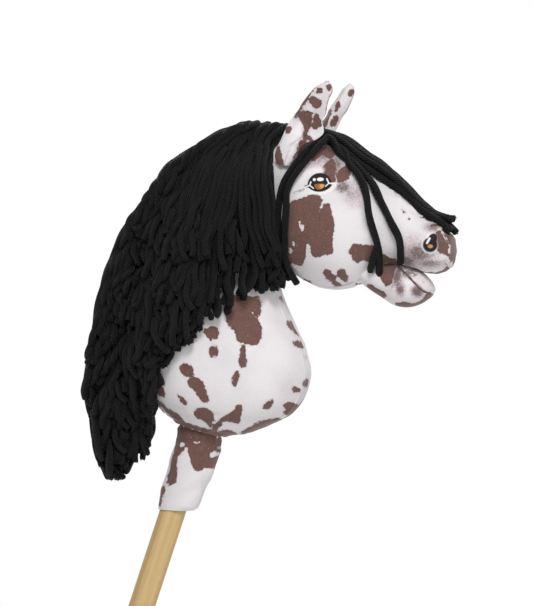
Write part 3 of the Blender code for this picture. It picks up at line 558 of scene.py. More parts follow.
class Channel:
    """A socket's value, on which Python's own signs add the nodes that work it out."""

    def __init__(self, recipe, socket):
        self.recipe = recipe
        self.socket = socket

    def math(self, operation, *others):
        values = dict(enumerate([self, *others]))
        return self.recipe.node("ShaderNodeMath", {"operation": operation}, values).out()

    def __add__(self, other):
        return self.math("ADD", other)

    def __radd__(self, other):
        return self.math("ADD", other)

    def __sub__(self, other):
        return self.math("SUBTRACT", other)

    def __rsub__(self, other):
        return self.recipe.node("ShaderNodeMath", {"operation": "SUBTRACT"}, {0: other, 1: self}).out()

    def __mul__(self, other):
        return self.math("MULTIPLY", other)

    def __rmul__(self, other):
        return self.math("MULTIPLY", other)

    def least(self, other):
        return self.math("MINIMUM", other)

    def most(self, other):
        return self.math("MAXIMUM", other)


class Step:
    """A node that has been added, and a way to its outputs."""

    def __init__(self, recipe, made):
        self.recipe = recipe
        self.made = made

    def out(self, key=0):
        return Channel(self.recipe, self.made.outputs[key])


class Nodes:
    """A tree that nodes are added to, empty at first."""

    def __init__(self, tree):
        self.tree = tree
        tree.nodes.clear()

    def node(self, kind, settings=None, values=None):
        made = self.tree.nodes.new(kind)
        for key, value in (settings or {}).items():
            setattr(made, key, value)
        for key, value in (values or {}).items():
            if isinstance(value, Channel):
                self.tree.links.new(value.socket, made.inputs[key])
            else:
                made.inputs[key].default_value = value
        return Step(self, made)

    def looked_at(self):
        """1 for what the camera sees, also in a reflection or through something clear, or else 0."""
        rays = self.node("ShaderNodeLightPath")
        seen = rays.out("Is Camera Ray").most(rays.out("Is Glossy Ray"))
        return seen.most(rays.out("Is Transmission Ray"))


class Recipe(Nodes):
    """One material and the nodes that make it."""

    def __init__(self, name):
        self.material = bpy.data.materials.new(name)
        self.material.use_nodes = True
        super().__init__(self.material.node_tree)
        self.place = self.node("ShaderNodeTexCoord").out("Object")

    def attribute(self, name):
        return self.node("ShaderNodeAttribute", {"attribute_name": name}).out("Fac")

    def vector(self, operation, a, b):
        return self.node("ShaderNodeVectorMath", {"operation": operation}, {0: a, 1: b}).out()

    def measure(self, operation, *vectors):
        """A number worked out from vectors, such as their distance."""
        values = dict(enumerate(vectors))
        return self.node("ShaderNodeVectorMath", {"operation": operation}, values).out("Value")

    def noise(self, size, detail=2.0, place=None, roughness=0.5):
        """Soft noise around 0.5 whose lumps are about so many metres across."""
        values = {
            "Vector": place or self.place,
            "Scale": 1.0 / size,
            "Detail": detail,
            "Roughness": roughness,
        }
        return self.node("ShaderNodeTexNoise", {}, values).out("Fac")

    def waves(
        self, scale, distortion, direction="DIAGONAL", profile="SIN", place=None, detail_scale=1.0
    ):
        """Stripes whose phase grows by WAVE_PHASE radians in a metre at a scale of 1."""
        settings = {"wave_type": "BANDS", "bands_direction": direction, "wave_profile": profile}
        values = {
            "Vector": place or self.place,
            "Scale": scale,
            "Distortion": distortion,
            "Detail": 2.0,
            "Detail Scale": detail_scale,
        }
        return self.node("ShaderNodeTexWave", settings, values).out("Fac")

    def between(self, value, low, high):
        """0 below low, 1 above high, and a smooth rise from one to the other."""
        values = {"Value": value, "From Min": low, "From Max": high, "To Min": 0.0, "To Max": 1.0}
        return self.node("ShaderNodeMapRange", {"interpolation_type": "SMOOTHSTEP"}, values).out()

    def under(self, value, low, high):
        """1 below low, 0 above high."""
        return 1.0 - self.between(value, low, high)

    def mix(self, share, a, b):
        values = {0: share, 6: as_input(a), 7: as_input(b)}
        return self.node("ShaderNodeMix", {"data_type": "RGBA"}, values).out(2)

    def bump(self, height, distance, strength, normal=None):
        values = {"Height": height, "Distance": distance, "Strength": strength}
        if normal:
            values["Normal"] = normal
        return self.node("ShaderNodeBump", {}, values).out()

    def finish(self, colour, roughness, normal, **even):
        """Closes the material. The values in even are the same all over the surface."""
        values = {"Base Color": as_input(colour), "Roughness": roughness, "Normal": normal}
        values.update({key.replace("_", " "): value for key, value in even.items()})
        shader = self.node("ShaderNodeBsdfPrincipled", {}, values)
        self.node("ShaderNodeOutputMaterial", {}, {"Surface": shader.out()})
        return self.material


def as_input(colour):
    """A colour as a socket takes it, or the channel that it comes from."""
    return colour if isinstance(colour, Channel) else (*colour, 1.0)


def shade(colour, share):
    """A colour made darker or lighter by a share."""
    return tuple(min(1.0, share * value) for value in colour)


def linear(red, green, blue):
    """A colour picked on screen, from 0 to 255, as the light it stands for."""
    found = []
    for value in (red, green, blue):
        share = value / 255
        found.append(share / 12.92 if share <= 0.04045 else ((share + 0.055) / 1.055) ** 2.4)
    return tuple(found)


# The coat's printed spots, as outlines seen square on from the near side, in (x, z). The far side
# is printed as the mirror image.
SPOTS = {
    "cheek": [
        (128, 302), (146, 308), (152, 310), (156, 307), (158, 302), (154, 295), (155, 292), (160, 300),
        (164, 300), (167, 292), (168, 286), (170, 280), (167, 266), (167, 258), (166, 250), (156, 250),
        (152, 247), (146, 248), (145, 253), (145, 259), (142, 261), (140, 259), (140, 255), (140, 250),
        (138, 244), (134, 239), (130, 240), (121, 243), (114, 244), (114, 254), (120, 290), (123, 298),
    ],
    "under_cheek": [(112, 238), (120, 234), (123, 230), (138, 226), (141, 224), (139, 220), (114, 234)],
    "slant_a": [
        (156, 236), (161, 236), (164, 232), (166, 228), (167, 224), (170, 222), (169, 220), (163, 220),
        (161, 224), (156, 227), (155, 232),
    ],
    "slant_b": [
        (170, 235), (174, 238), (176, 235), (178, 230), (178, 226), (174, 224), (170, 227), (168, 231),
    ],
    "jaw_patch": [
        (180, 254), (184, 258), (188, 262), (194, 260), (200, 260), (205, 259), (218, 247), (224, 248),
        (225, 244), (224, 238), (222, 231), (222, 224), (219, 220), (214, 220), (210, 226), (208, 233),
        (204, 237), (202, 242), (200, 242), (194, 246), (190, 242), (186, 243), (184, 246), (183, 250),
    ],
    "chin_under": [(193, 221), (199, 222), (205, 218), (211, 216), (216, 212), (210, 206), (200, 210)],
    "lip_edge": [
        (220, 204), (228, 205), (240, 203), (247, 206), (251, 211), (257, 218), (264, 216), (262, 206),
        (250, 198), (238, 195), (224, 198),
    ],
    "nose_front": [
        (264, 273), (271, 276), (279, 269), (284, 255), (284, 243), (280, 233), (276.5, 243),
        (272, 251), (267, 252), (264, 255), (263, 265),
    ],
    "bridge": [(246, 288), (251, 286), (258, 286), (262, 283), (256, 283), (248, 286)],
    "bridge_low": [(257, 280), (267, 280), (260, 277), (258, 278)],
    "mark_a": [(230, 295), (234, 292), (233, 290), (232, 291), (232, 292)],
    "mark_b": [(238, 286), (240, 284), (238, 284)],
    "brow_a": [
        (161, 322), (157, 329), (156, 336), (161, 343), (166, 342), (169, 334), (168, 327), (171, 320),
        (165, 319),
    ],
    "brow_b": [
        (169, 328), (171, 334), (176, 336), (180, 338), (181, 331), (182, 327), (178, 321), (173, 319),
        (169, 322),
    ],
    "forehead": [
        (152, 355), (157, 355), (163, 351), (166, 347), (164, 344), (160, 343), (158, 344), (155, 346),
        (152, 345), (150, 341), (146, 340), (143, 342), (146, 347), (149, 351),
    ],
    "poll_side": [(170, 346), (172, 345), (176, 342), (180, 338), (178, 338), (172, 343)],
    "neck_big": [
        (61, 198), (62, 206), (68, 212), (80, 212), (88, 210), (92, 212), (96, 196), (91, 188),
        (96, 182), (97, 174), (96, 168), (94, 163), (88, 162), (80, 166), (74, 166), (72, 178),
        (68, 178), (64, 184),
    ],
    "drip_a": [
        (78, 164), (82, 165), (82, 158), (84, 150), (84, 143), (80, 140), (76, 143), (76, 149),
        (78, 155),
    ],
    "drip_b": [(74, 139), (78, 140), (78, 134), (76, 128), (72, 122), (70, 124), (69, 131), (72, 136)],
    "neck_b": [
        (48, 182), (54, 182), (58, 180), (58, 173), (56, 168), (50, 166), (48, 170), (42, 174),
        (40, 179), (46, 178),
    ],
    "neck_c": [(49, 164), (53, 166), (56, 162), (58, 154), (54, 149), (49, 150), (48, 156)],
    "neck_d": [(18, 143), (24, 146), (30, 144), (33, 140), (32, 135), (26, 132), (22, 134), (18, 138)],
    "neck_e": [
        (30, 132), (36, 133), (42, 128), (44, 123), (44, 116), (48, 112), (44, 107), (40, 108),
        (35, 116), (26, 124), (25, 128),
    ],
    "neck_f": [(14, 116), (20, 114), (24, 108), (23, 104), (19, 107), (15, 112)],
    "neck_g": [
        (34, 102), (40, 103), (47, 102), (50, 96), (50, 90), (46, 88), (46, 82), (42, 84), (40, 89),
        (34, 90), (30, 94), (30, 98),
    ],
    "neck_h": [
        (72, 104), (76, 106), (78, 102), (74, 88), (69, 86), (64, 89), (58, 90), (50, 80), (45, 76),
        (44, 80), (46, 85), (54, 91), (70, 100),
    ],
    "neck_i": [(49, 80), (58, 82), (65, 79), (66, 75), (58, 70), (52, 73)],
    "base_strip": [
        (66, 75), (80, 84), (104, 94), (110, 91), (111, 87), (100, 82), (92, 82), (82, 78), (67, 73),
    ],
    "neck_j": [(105, 111), (108, 112), (107, 108), (102, 101), (96, 102), (98, 106)],
    "neck_k": [(114, 106), (123, 109), (128, 102), (124, 94), (117, 92), (112, 98), (116, 102)],
    "neck_l": [(124, 121), (126, 124), (131, 118), (125, 116), (124, 118)],
    "neck_m": [(130, 128), (138, 132), (140, 126), (138, 119), (134, 120)],
    "edge_a": [(115, 187), (121, 187), (129, 182), (132, 172), (125, 171), (119, 178)],
    "edge_b": [(108, 212), (114, 213), (118, 204), (112, 202), (109, 206)],
    "edge_c": [(121, 168), (130, 167), (136, 162), (131, 159), (124, 162)],
    "edge_d": [(132, 155), (139, 156), (144, 146), (140, 143), (134, 149)],
    "edge_e": [(141, 128), (144, 128), (143, 122), (139, 114), (137, 116), (141, 122)],
    "back_a": [(-16, 130), (-4, 126), (1, 122), (1, 112), (-6, 114), (-12, 118), (-20, 122)],
    "back_strip": [
        (-16, 111), (-8, 111), (5, 99), (12, 98), (16, 91), (22, 85), (26, 80), (18, 81), (-5, 102),
        (-14, 107),
    ],
    "sleeve_big": [
        (-2, 90), (10, 91), (24, 87), (59, 76), (58, 62), (48, 46), (44, 42), (36, 45), (31, 40),
        (24, 40), (20, 58), (17, 62), (14, 60), (9, 56), (8, 50), (8, 34), (6, 29), (0, 26), (-4, 30),
        (1, 48), (2, 56), (7, 72),
    ],
    "sleeve_low": [(-11, 24), (-6, 27), (-4, 21), (-8, 16), (-8, 10), (-10, 6), (-15, 9)],
    # Painted shadow: a brown patch beneath the ear, where the ear and the yarn shade the cheek.
    "shadow_under_ear": [(128, 345), (133, 358), (142, 366), (154, 364), (150, 355), (140, 347)],
    "sleeve_mark": [(38, 23), (40, 22), (40, 18), (39, 18)],
}
HOLES = {
    "cheek_hole": [(133, 282), (136, 283), (137, 280), (140, 278), (138, 272), (135, 276)],
    "cheek_dot_a": [(150, 276), (152, 276), (152, 274), (150, 274)],
    "cheek_dot_b": [(154, 268), (156, 268), (156, 266), (154, 266)],
    "cheek_drip": [(154, 296), (155, 296), (158, 302), (160, 300), (156, 292), (154, 292)],
    "cheek_dot_c": [(127, 264), (128, 264), (130, 260), (128, 258), (126, 260)],
    "cheek_dot_d": [(122, 256), (124, 258), (126, 256), (126, 252), (123, 251), (122, 253)],
    "neck_dot": [(85, 194), (87, 196), (89, 194), (88, 192), (86, 192)],
    "sleeve_dot_a": [(40, 58), (42, 60), (48, 59), (48, 56), (40, 54)],
    "sleeve_dot_b": [(46, 65), (50, 66), (50, 63), (46, 62)],
    "sleeve_dot_c": [(10, 68), (15, 69), (16, 65), (12, 64)],
    "sleeve_dot_d": [(22, 69.5), (31, 70.5), (31, 68), (24, 67.5)],
    "sleeve_dot_e": [(15, 63.5), (19, 64), (19, 60.5), (16, 60)],
}
EAR_SPOTS = {
    "tip": [(162, 414), (167.5, 415), (168, 409.5), (165.5, 407), (163.5, 410.5)],
    "tip_back": [(152, 410), (158, 412), (159, 407), (156, 405), (152, 406)],
    "front_rim": [(166, 406), (167, 404), (165, 398), (163.4, 392), (162.6, 394), (164.4, 401)],
    "diamond": [
        (144, 402.5), (150, 404), (156, 399), (158, 395.5), (155, 392), (150.5, 390.5), (147, 395.5),
    ],
    "rim": [
        (151, 412), (153, 411), (146, 402), (139, 392), (134, 384), (131, 381), (130, 383), (141, 401),
    ],
    "middle": [
        (132, 386), (140, 390), (148, 388), (147, 381), (145.5, 375), (143, 369), (139, 365.5),
        (136.5, 371), (138.5, 376.5), (134.5, 380),
    ],
    "fold": [
        (149, 386.5), (153, 388), (156, 381), (158.5, 375), (154, 373.5), (149.7, 371.5), (146.7, 372),
        (147.6, 380),
    ],
    "low": [
        (127, 342), (131, 350), (134, 357), (137, 364), (137.5, 370), (139, 374), (141, 370), (141.5, 366),
        (144, 365), (148, 362), (150, 358), (146, 352), (136, 344),
    ],
    "lobe": [(122, 373), (125, 375), (128, 373), (127.5, 369), (124.5, 366), (121.5, 368)],
    "lobe_root": [
        (109, 348), (111, 355), (115.5, 355.5), (116.5, 349.5), (118.5, 342), (120, 335), (114, 336),
        (110, 342),
    ],
}
EAR_HOLES = {
    "low_gap": [(141, 361), (144, 361.5), (144.5, 358), (141.5, 358)],
}
FAR_EAR_SPOTS = {
    "tip": [(162, 406), (164, 411), (169, 412), (168, 406), (165, 403)],
    "middle": [(153, 400), (156, 399), (156, 393), (152, 388), (150, 390), (152, 396)],
    "low": [(148, 383), (152, 387), (155, 384), (153, 377), (149, 374), (147, 377)],
    "foot": [(140, 393), (147, 392), (148, 387), (145, 379), (144, 373), (137, 372), (136, 380)],
}
BLOTCH_SIZE = 34.0
BLOTCH_SHARE = 0.12
# Soft shading: (x, z) of its middle, its half width and half height, and its strength, mostly airbrushed
# print.
AIRBRUSH_AND_SHADE = [
    (249, 252, 22, 14, 0.85),
    (243, 263, 14, 12, 0.4),
    (257, 242, 17, 6, 0.8),
    (235, 244, 13, 7, 0.9),
    (262, 277, 12, 6, 0.8),
    (225, 229, 8, 12, 1.0),
    (236, 233, 10, 6, 1.0),
    (229, 217, 6, 8, 1.0),
    (245, 215, 7, 7, 1.05),
    (221, 222, 9, 11, 0.5),
    (177, 316, 10, 8, 0.85),
    (186, 308, 13, 11, 0.55),
    (190, 300, 13, 7, 0.4),
    (165, 335, 12, 14, 1.0),
    (157, 349, 15, 10, 0.95),
    (147, 343, 16, 14, 0.6),
    (138, 332, 9, 15, 0.35),
    # Painted shade along the neck's front edge, not print.
    (120, 120, 14, 30, 0.2),
    (134, 206, 10, 10, 0.25),
]
# The shading mark along a seam where a dark line of painted shadow is drawn, and the marks between which it
# fades in.
SEAM_SHADOW_MARK = 3.0
SEAM_SHADOW_FADE = (1.6, 2.3)
# The middle of the eye and of the nostril, in (x, z).
EYE = (153.2, 318.2)
NOSTRIL = (260.2, 260.6)


def rounded(outline, times=2):
    """An outline with its corners cut off again and again until it is a smooth one."""
    points = np.array(outline, float)
    for _ in range(times):
        after = np.roll(points, -1, axis=0)
        points = np.stack([0.75 * points + 0.25 * after, 0.25 * points + 0.75 * after], axis=1)
        points = points.reshape(-1, 2)
    return points


def outside_by(places, outline):
    """How far each place is outside an outline, in millimetres, and below 0 inside it."""
    points = rounded(outline)
    found = np.full(len(places), 1e9)
    inside = np.zeros(len(places), bool)
    for a, b in zip(points, np.roll(points, -1, axis=0)):
        along = b - a
        share = np.clip((places - a) @ along / max(along @ along, 1e-9), 0, 1)
        found = np.minimum(found, np.linalg.norm(places - a - share[:, None] * along, axis=1))
        crosses = (a[1] > places[:, 1]) != (b[1] > places[:, 1])
        rise = along[1] if abs(along[1]) > 1e-9 else 1e-9
        inside ^= crosses & (places[:, 0] < a[0] + along[0] * (places[:, 1] - a[1]) / rise)
    return np.where(inside, -found, found)


def coat_at(points, spots, holes):
    """The print at each point: millimetres outside the nearest spot, seen from the side."""
    places = points.reshape(-1, 3)[:, [0, 2]]
    found = np.full(len(places), 60.0)
    for outline in spots.values():
        found = np.minimum(found, outside_by(places, outline))
    for outline in holes.values():
        found = np.maximum(found, -outside_by(places, outline))
    return found.reshape(points.shape[:-1])


def blotches_at(points):
    """A print of the same kind where the photograph doesn't show one."""
    flat = points.reshape(-1, 3)
    found = [noise.noise(Vector(point / BLOTCH_SIZE)) for point in flat]
    return ((BLOTCH_SHARE - np.array(found)) * BLOTCH_SIZE).reshape(points.shape[:-1])


# The airbrushing and the painted shade at each point.
def airbrush_and_shade_at(points):
    found = np.zeros(points.shape[:-1])
    for x, z, wide, high, strength in AIRBRUSH_AND_SHADE:
        away = np.hypot((points[..., 0] - x) / wide, (points[..., 2] - z) / high)
        found = np.maximum(found, strength * np.clip(1.3 - away, 0, 1))
    return found


class Print:
    """Draws the eye and the nostril in a material, in millimetres seen square on from the side."""

    def __init__(self, recipe, middle):
        self.recipe = recipe
        metres = place([middle[0], 0.0, middle[1]])
        flat = recipe.vector("MULTIPLY", recipe.place, (1 / MM, 0.0, 1 / MM))
        self.flat = recipe.vector("SUBTRACT", flat, (metres[0] / MM, 0.0, metres[2] / MM))

    def away(self, x, z):
        return self.recipe.measure("DISTANCE", self.flat, (x, 0.0, z))

    def disc(self, x, z, radius, soft=0.4):
        return self.recipe.under(self.away(x, z), radius - soft, radius + soft)

    def oval(self, x, z, wide, high, turn=0.0, soft=0.12):
        values = {"Vector": self.flat, "Center": (x, 0.0, z), "Axis": (0.0, 1.0, 0.0)}
        values["Angle"] = math.radians(turn)
        turned = self.recipe.node("ShaderNodeVectorRotate", {}, values).out()
        moved = self.recipe.vector("SUBTRACT", turned, (x, 0.0, z))
        scaled = self.recipe.vector("MULTIPLY", moved, (1 / wide, 0.0, 1 / high))
        return self.recipe.under(self.recipe.measure("LENGTH", scaled), 1 - soft, 1 + soft)

    def stroke(self, points, width, soft=0.35):
        """A painted line through some points."""
        drawn = None
        for a, b in zip(points, points[1:]):
            along = (b[0] - a[0], 0.0, b[1] - a[1])
            length = along[0] ** 2 + along[2] ** 2
            moved = self.recipe.vector("SUBTRACT", self.flat, (a[0], 0.0, a[1]))
            dot = self.recipe.measure("DOT_PRODUCT", moved, along)
            settings = {"operation": "MULTIPLY", "use_clamp": True}
            share = self.recipe.node("ShaderNodeMath", settings, {0: dot, 1: 1 / length}).out()
            values = {0: along, "Scale": share}
            reached = self.recipe.node("ShaderNodeVectorMath", {"operation": "SCALE"}, values).out()
            away = self.recipe.measure("DISTANCE", moved, reached)
            drawn = away if drawn is None else drawn.least(away)
        return self.recipe.under(drawn, width / 2 - soft, width / 2 + soft)


def draw_eye(recipe, colour, ink, white):
    """The printed eye: a black almond with a brown iris, white glints and soft brush strokes round it."""
    eye = Print(recipe, EYE)
    rough = recipe.noise(0.003, 3.0)
    brow = eye.stroke([(-17, 3.0), (-12.5, 10.5), (-5, 13.8), (2, 13.6)], 5.0, 2.4)
    colour = recipe.mix(brow * 0.75, colour, white)
    streaks = eye.stroke([(-23, -8.2), (-14.3, -4.8)], 2.2, 0.9)
    streaks = streaks.most(eye.stroke([(18, -3.2), (29, -8.6)], 3.6, 1.6))
    colour = recipe.mix(streaks * recipe.between(rough, 0.3, 0.6) * 0.6, colour, linear(96, 78, 78))
    rim = eye.stroke([(16, -1.2), (12.1, -5.4), (6.8, -8.2), (-0.2, -9.0), (-6.5, -8.0)], 2.6, 1.0)
    colour = recipe.mix(rim * 0.85, colour, white)
    corner = eye.stroke([(-12.3, -2.2), (-7.0, -1.0)], 2.6, 0.5)
    almond = eye.disc(1.0, -0.6, 11.6) * eye.disc(0.8, 7.5, 14.8)
    colour = recipe.mix(almond.most(corner), colour, ink)
    iris = eye.disc(1.0, -0.3, 4.8) * recipe.under(eye.away(1.0, -20.0), 20.0, 21.0)
    brown = recipe.mix(eye.disc(3.6, -1.4, 2.4, 1.6), linear(146, 94, 54), linear(214, 160, 96))
    colour = recipe.mix(iris, colour, brown)
    glints = eye.stroke([(-7.4, 2.3), (-8.3, -1.0), (-13.2, -2.9)], 1.3)
    glints = glints.most(eye.stroke([(-8.3, -1.0), (-4.6, -3.8)], 1.0))
    glints = glints.most(eye.stroke([(7.7, 5.3), (9.9, 1.0), (16.9, 0.6)], 1.3))
    glints = glints.most(eye.stroke([(9.9, 1.0), (6.8, -1.9)], 1.0))
    glints = glints.most(eye.disc(-4.1, 4.5, 1.45)).most(eye.oval(1.6, 4.8, 3.3, 1.8))
    return recipe.mix(glints, colour, white)


def draw_nostril(recipe, colour, ink, white):
    nostril = Print(recipe, NOSTRIL)
    seam = nostril.stroke([(3.9, 15.5), (9.4, 9.7), (13.4, 2.9), (15.4, -1.9), (15.4, -9.3)], 1.8, 0.5)
    worn = recipe.between(recipe.noise(0.004, 2.0), 0.4, 0.55)
    colour = recipe.mix(seam * worn * 0.8, colour, white)
    rim = nostril.oval(-1.9, -1.4, 7.7, 7.9).most(nostril.oval(-0.5, 4.0, 5.3, 7.2, -16))
    colour = recipe.mix(rim * 0.65, colour, white)
    hole = nostril.oval(-1.4, -0.8, 6.8, 7.1).most(nostril.oval(0.5, 4.0, 4.3, 6.5, -16))
    colour = recipe.mix(hole, colour, ink)
    inside = nostril.oval(-1.1, -2.2, 2.3, 1.7, soft=0.4)
    colour = recipe.mix(inside * 0.85, colour, linear(206, 152, 102))
    return recipe.mix(nostril.stroke([(-2.0, 5.4), (-4.2, 1.0)], 2.0, 0.6), colour, white)


def cloth_recipe(name):
    """Starts a material for the printed cotton: its weave and its soft nap as heights."""
    recipe = Recipe(name)
    weave = None
    for axis, size in (("X", 0.00062), ("Z", 0.00066)):
        threads = recipe.waves(1 / size / WAVE_PHASE, 2.0, axis)
        weave = threads if weave is None else weave * threads
    nap = recipe.noise(0.0016, 3.0)
    normal = recipe.bump(weave * 0.5 + nap, 0.00012, 0.7)
    return recipe, nap, recipe.bump(recipe.noise(0.011, 2.0), 0.0009, 0.35, normal)


def seam_shadow_line(recipe, colour, amount, grain):
    """Paints a seam's shadow: darkens the cloth where the shading mark comes near the one kept for it."""
    broken = recipe.between(grain, 0.35, 0.48)
    return recipe.mix(recipe.between(amount, *SEAM_SHADOW_FADE) * broken * 0.85, colour, linear(70, 52, 50))


def spotted_cloth(cloth, name):
    recipe, nap, normal = cloth_recipe(name)
    white = tuple(cloth.white_colour)
    brown = tuple(cloth.spot_colour)
    ink = tuple(cloth.ink_colour)
    soft = recipe.noise(0.035, 3.0)
    ground = recipe.mix(recipe.between(soft, 0.35, 0.75) * 0.5, white, shade(white, 0.84))
    ground = recipe.mix(recipe.between(nap, 0.5, 0.8) * 0.25, ground, shade(white, 0.72))
    amount = recipe.attribute("airbrush_and_shade")
    grain = recipe.noise(0.0017, 3.0, roughness=0.8)
    # The airbrush marks darken the ground. The same marks carry painted shade along the neck's front edge,
    # at the seams and in the ears' creases.
    brushed_and_shaded = amount * (soft * 0.6 + 0.7) + (grain - 0.5) * recipe.between(amount, 0.0, 0.4) * 1.3
    ground = recipe.mix(recipe.between(brushed_and_shaded, 0.02, 0.5) * 0.8, ground, linear(202, 187, 191))
    ground = recipe.mix(recipe.between(brushed_and_shaded, 0.32, 1.0) * 0.95, ground, tuple(cloth.airbrush_and_shade_colour))
    ragged = recipe.noise(0.0032, 4.0, roughness=0.65) - 0.5
    wavy = recipe.noise(0.011, 3.0) - 0.5
    edge = recipe.attribute("coat") + ragged * 5.0 + wavy * 4.0
    deep = shade(brown, 0.6)
    stained = recipe.mix(recipe.noise(0.007, 4.0, roughness=0.65), deep, shade(brown, 1.12))
    stained = recipe.mix(recipe.between(edge, -2.6, -0.2) * 0.3, stained, deep)
    stained = recipe.mix(recipe.between(nap, 0.55, 0.85) * 0.35, stained, shade(brown, 1.7))
    worn = recipe.between(recipe.noise(0.0015, 4.0, roughness=0.75), 0.5, 0.72)
    stained = recipe.mix(worn * 0.3, stained, linear(168, 140, 130))
    flecks = recipe.between(recipe.noise(0.0019, 3.0), 0.7, 0.78)
    halo = recipe.under(edge, 0.2, 1.8) * 0.35
    colour = recipe.mix(halo, ground, linear(196, 182, 184))
    colour = recipe.mix(recipe.under(edge, -0.35, 0.35) * (1.0 - flecks * 0.7), colour, stained)
    bright = shade(white, 1.08)
    colour = draw_eye(recipe, colour, ink, bright)
    colour = draw_nostril(recipe, colour, ink, bright)
    colour = seam_shadow_line(recipe, colour, amount, grain)
    return recipe.finish(
        colour, 0.86, normal, Sheen_Weight=0.25, Sheen_Roughness=0.5, Specular_IOR_Level=0.25
    )


def lining_cloth(cloth):
    recipe, nap, normal = cloth_recipe("lip_lining_cotton")
    pink = linear(224, 214, 217)
    amount = recipe.attribute("airbrush_and_shade")
    # Random stains and the airbrushing darken the lining, and so does the painted shadow along its seams.
    stain_and_shade = recipe.between(recipe.noise(0.0045, 5.0, roughness=0.65) + amount * 0.32, 0.58, 0.8)
    colour = recipe.mix(stain_and_shade * 0.85, pink, shade(cloth.airbrush_and_shade_colour, 1.2))
    colour = recipe.mix(recipe.between(nap, 0.5, 0.8) * 0.3, colour, linear(160, 140, 140))
    colour = seam_shadow_line(recipe, colour, amount, recipe.noise(0.0017, 3.0, roughness=0.8))
    return recipe.finish(colour, 0.88, normal, Sheen_Weight=0.2, Specular_IOR_Level=0.25)


def filling_fibre():
    recipe = Recipe("polyester_filling")
    tufts = recipe.noise(0.006, 4.0, roughness=0.7)
    colour = recipe.mix(tufts, linear(214, 212, 206), linear(244, 243, 240))
    return recipe.finish(colour, 0.9, recipe.bump(tufts, 0.002, 0.6), Specular_IOR_Level=0.2)


def pine(wood):
    """Planed softwood: growth lines that run down the pole, pores between them and a dull finish."""
    recipe = Recipe("planed_pine")
    values = {"Vector": recipe.place, "Rotation": (0.0, -POLE_LEAN, 0.45)}
    upright = recipe.node("ShaderNodeMapping", {}, values).out()
    along = recipe.vector("MULTIPLY", upright, (1.0, 1.0, 0.012))
    short = recipe.vector("MULTIPLY", upright, (1.0, 1.0, 0.05))
    rings = recipe.waves(1 / wood.ring_width / WAVE_PHASE / MM, 1.6, "X", "SAW", along, 1.5)
    late = recipe.between(rings, 0.3, 1.0)
    pale = tuple(wood.pale_colour)
    dark = tuple(wood.late_colour)
    colour = recipe.mix(late * 0.6, pale, dark)
    broad = recipe.noise(0.009, 2.0, along)
    colour = recipe.mix(recipe.between(broad, 0.35, 0.7) * 0.5, colour, shade(pale, 0.82))
    fine = recipe.noise(0.0011, 2.0, along)
    colour = recipe.mix(recipe.between(fine, 0.4, 0.7) * 0.35, colour, shade(dark, 0.8))
    pores = recipe.noise(0.0007, 2.0, short)
    colour = recipe.mix(recipe.between(pores, 0.6, 0.75) * 0.35, colour, shade(dark, 0.6))
    planed = recipe.waves(1 / 0.0011 / WAVE_PHASE, 1.2, place=along)
    colour = recipe.mix(planed * 0.22, colour, shade(dark, 0.72))
    soil = recipe.between(recipe.noise(0.05, 4.0), 0.55, 0.8)
    colour = recipe.mix(soil * 0.15, colour, linear(150, 118, 78))
    normal = recipe.bump(late * 0.5 + pores, 0.0002, 0.5)
    return recipe.finish(colour, 0.5 + 0.12 * pores, normal, Specular_IOR_Level=0.3)


def felt():
    recipe = Recipe("wool_felt")
    fibres = recipe.noise(0.0012, 4.0, roughness=0.75)
    colour = recipe.mix(fibres, linear(96, 92, 88), linear(150, 146, 140))
    return recipe.finish(colour, 0.95, recipe.bump(fibres, 0.0006, 0.7), Sheen_Weight=0.3)


def woven_tape():
    recipe = Recipe("cotton_tape")
    twill = recipe.waves(60.0, 0.6)
    colour = recipe.mix(twill, linear(24, 23, 25), linear(48, 46, 50))
    return recipe.finish(colour, 0.85, recipe.bump(twill, 0.0002, 0.6))


def black_yarn(yarn):
    """Matt black acrylic: many fine plies that wind round the strand, with fibres along each. The plies'
    crests get painted light and their grooves painted shade.
    """
    recipe = Recipe("black_acrylic_yarn")
    around = recipe.node("ShaderNodeUVMap", {"uv_map": "UVMap"}).out()
    around = recipe.node("ShaderNodeSeparateXYZ", {}, {0: around}).out("X")
    run = recipe.attribute("run")
    ply = around * float(yarn.fine_plies) + run * (1.0 / yarn.ply_pitch)
    ridge = (ply * (2 * math.pi)).math("SINE") * 0.5 + 0.5
    values = {0: ply * 1.7, 1: run * 0.11, 2: around * 2.0}
    along_ply = recipe.node("ShaderNodeCombineXYZ", {}, values).out()
    fibres = recipe.noise(0.5, 3.0, along_ply, 0.65)
    lump = recipe.noise(0.016, 2.0)
    dark = tuple(yarn.colour)
    # Painted light and shade: the plies' crests are coloured lighter and their grooves darker.
    colour = recipe.mix(recipe.between(ridge, 0.15, 0.9), shade(dark, 0.3), shade(dark, 1.9))
    colour = recipe.mix(recipe.between(fibres, 0.5, 0.8) * 0.5, colour, shade(dark, 3.2))
    colour = recipe.mix(recipe.between(lump, 0.45, 0.7) * 0.35, colour, shade(dark, 1.5))
    normal = recipe.bump(ridge + fibres * 0.5, 0.0011, 1.0)
    return recipe.finish(
        colour, 0.62, normal, Sheen_Weight=0.02, Sheen_Roughness=0.45, Specular_IOR_Level=0.16
    )


def in_mm(group):
    """A settings group's values, with its lengths in millimetres."""
    found = {}
    for key, prop in group.bl_rna.properties.items():
        if key in ("name", "rna_type"):
            continue
        value = getattr(group, key)
        found[key] = value / MM if getattr(prop, "unit", "NONE") == "LENGTH" else value
    return SimpleNamespace(**found)


def hand_over(obj, body, slot, *nodes):
    """Gives a finished piece its body and hides the nodes that it stands for. The slot is not used."""
    if body:
        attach(obj, body)
    if nodes:
        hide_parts(*nodes)
    return obj


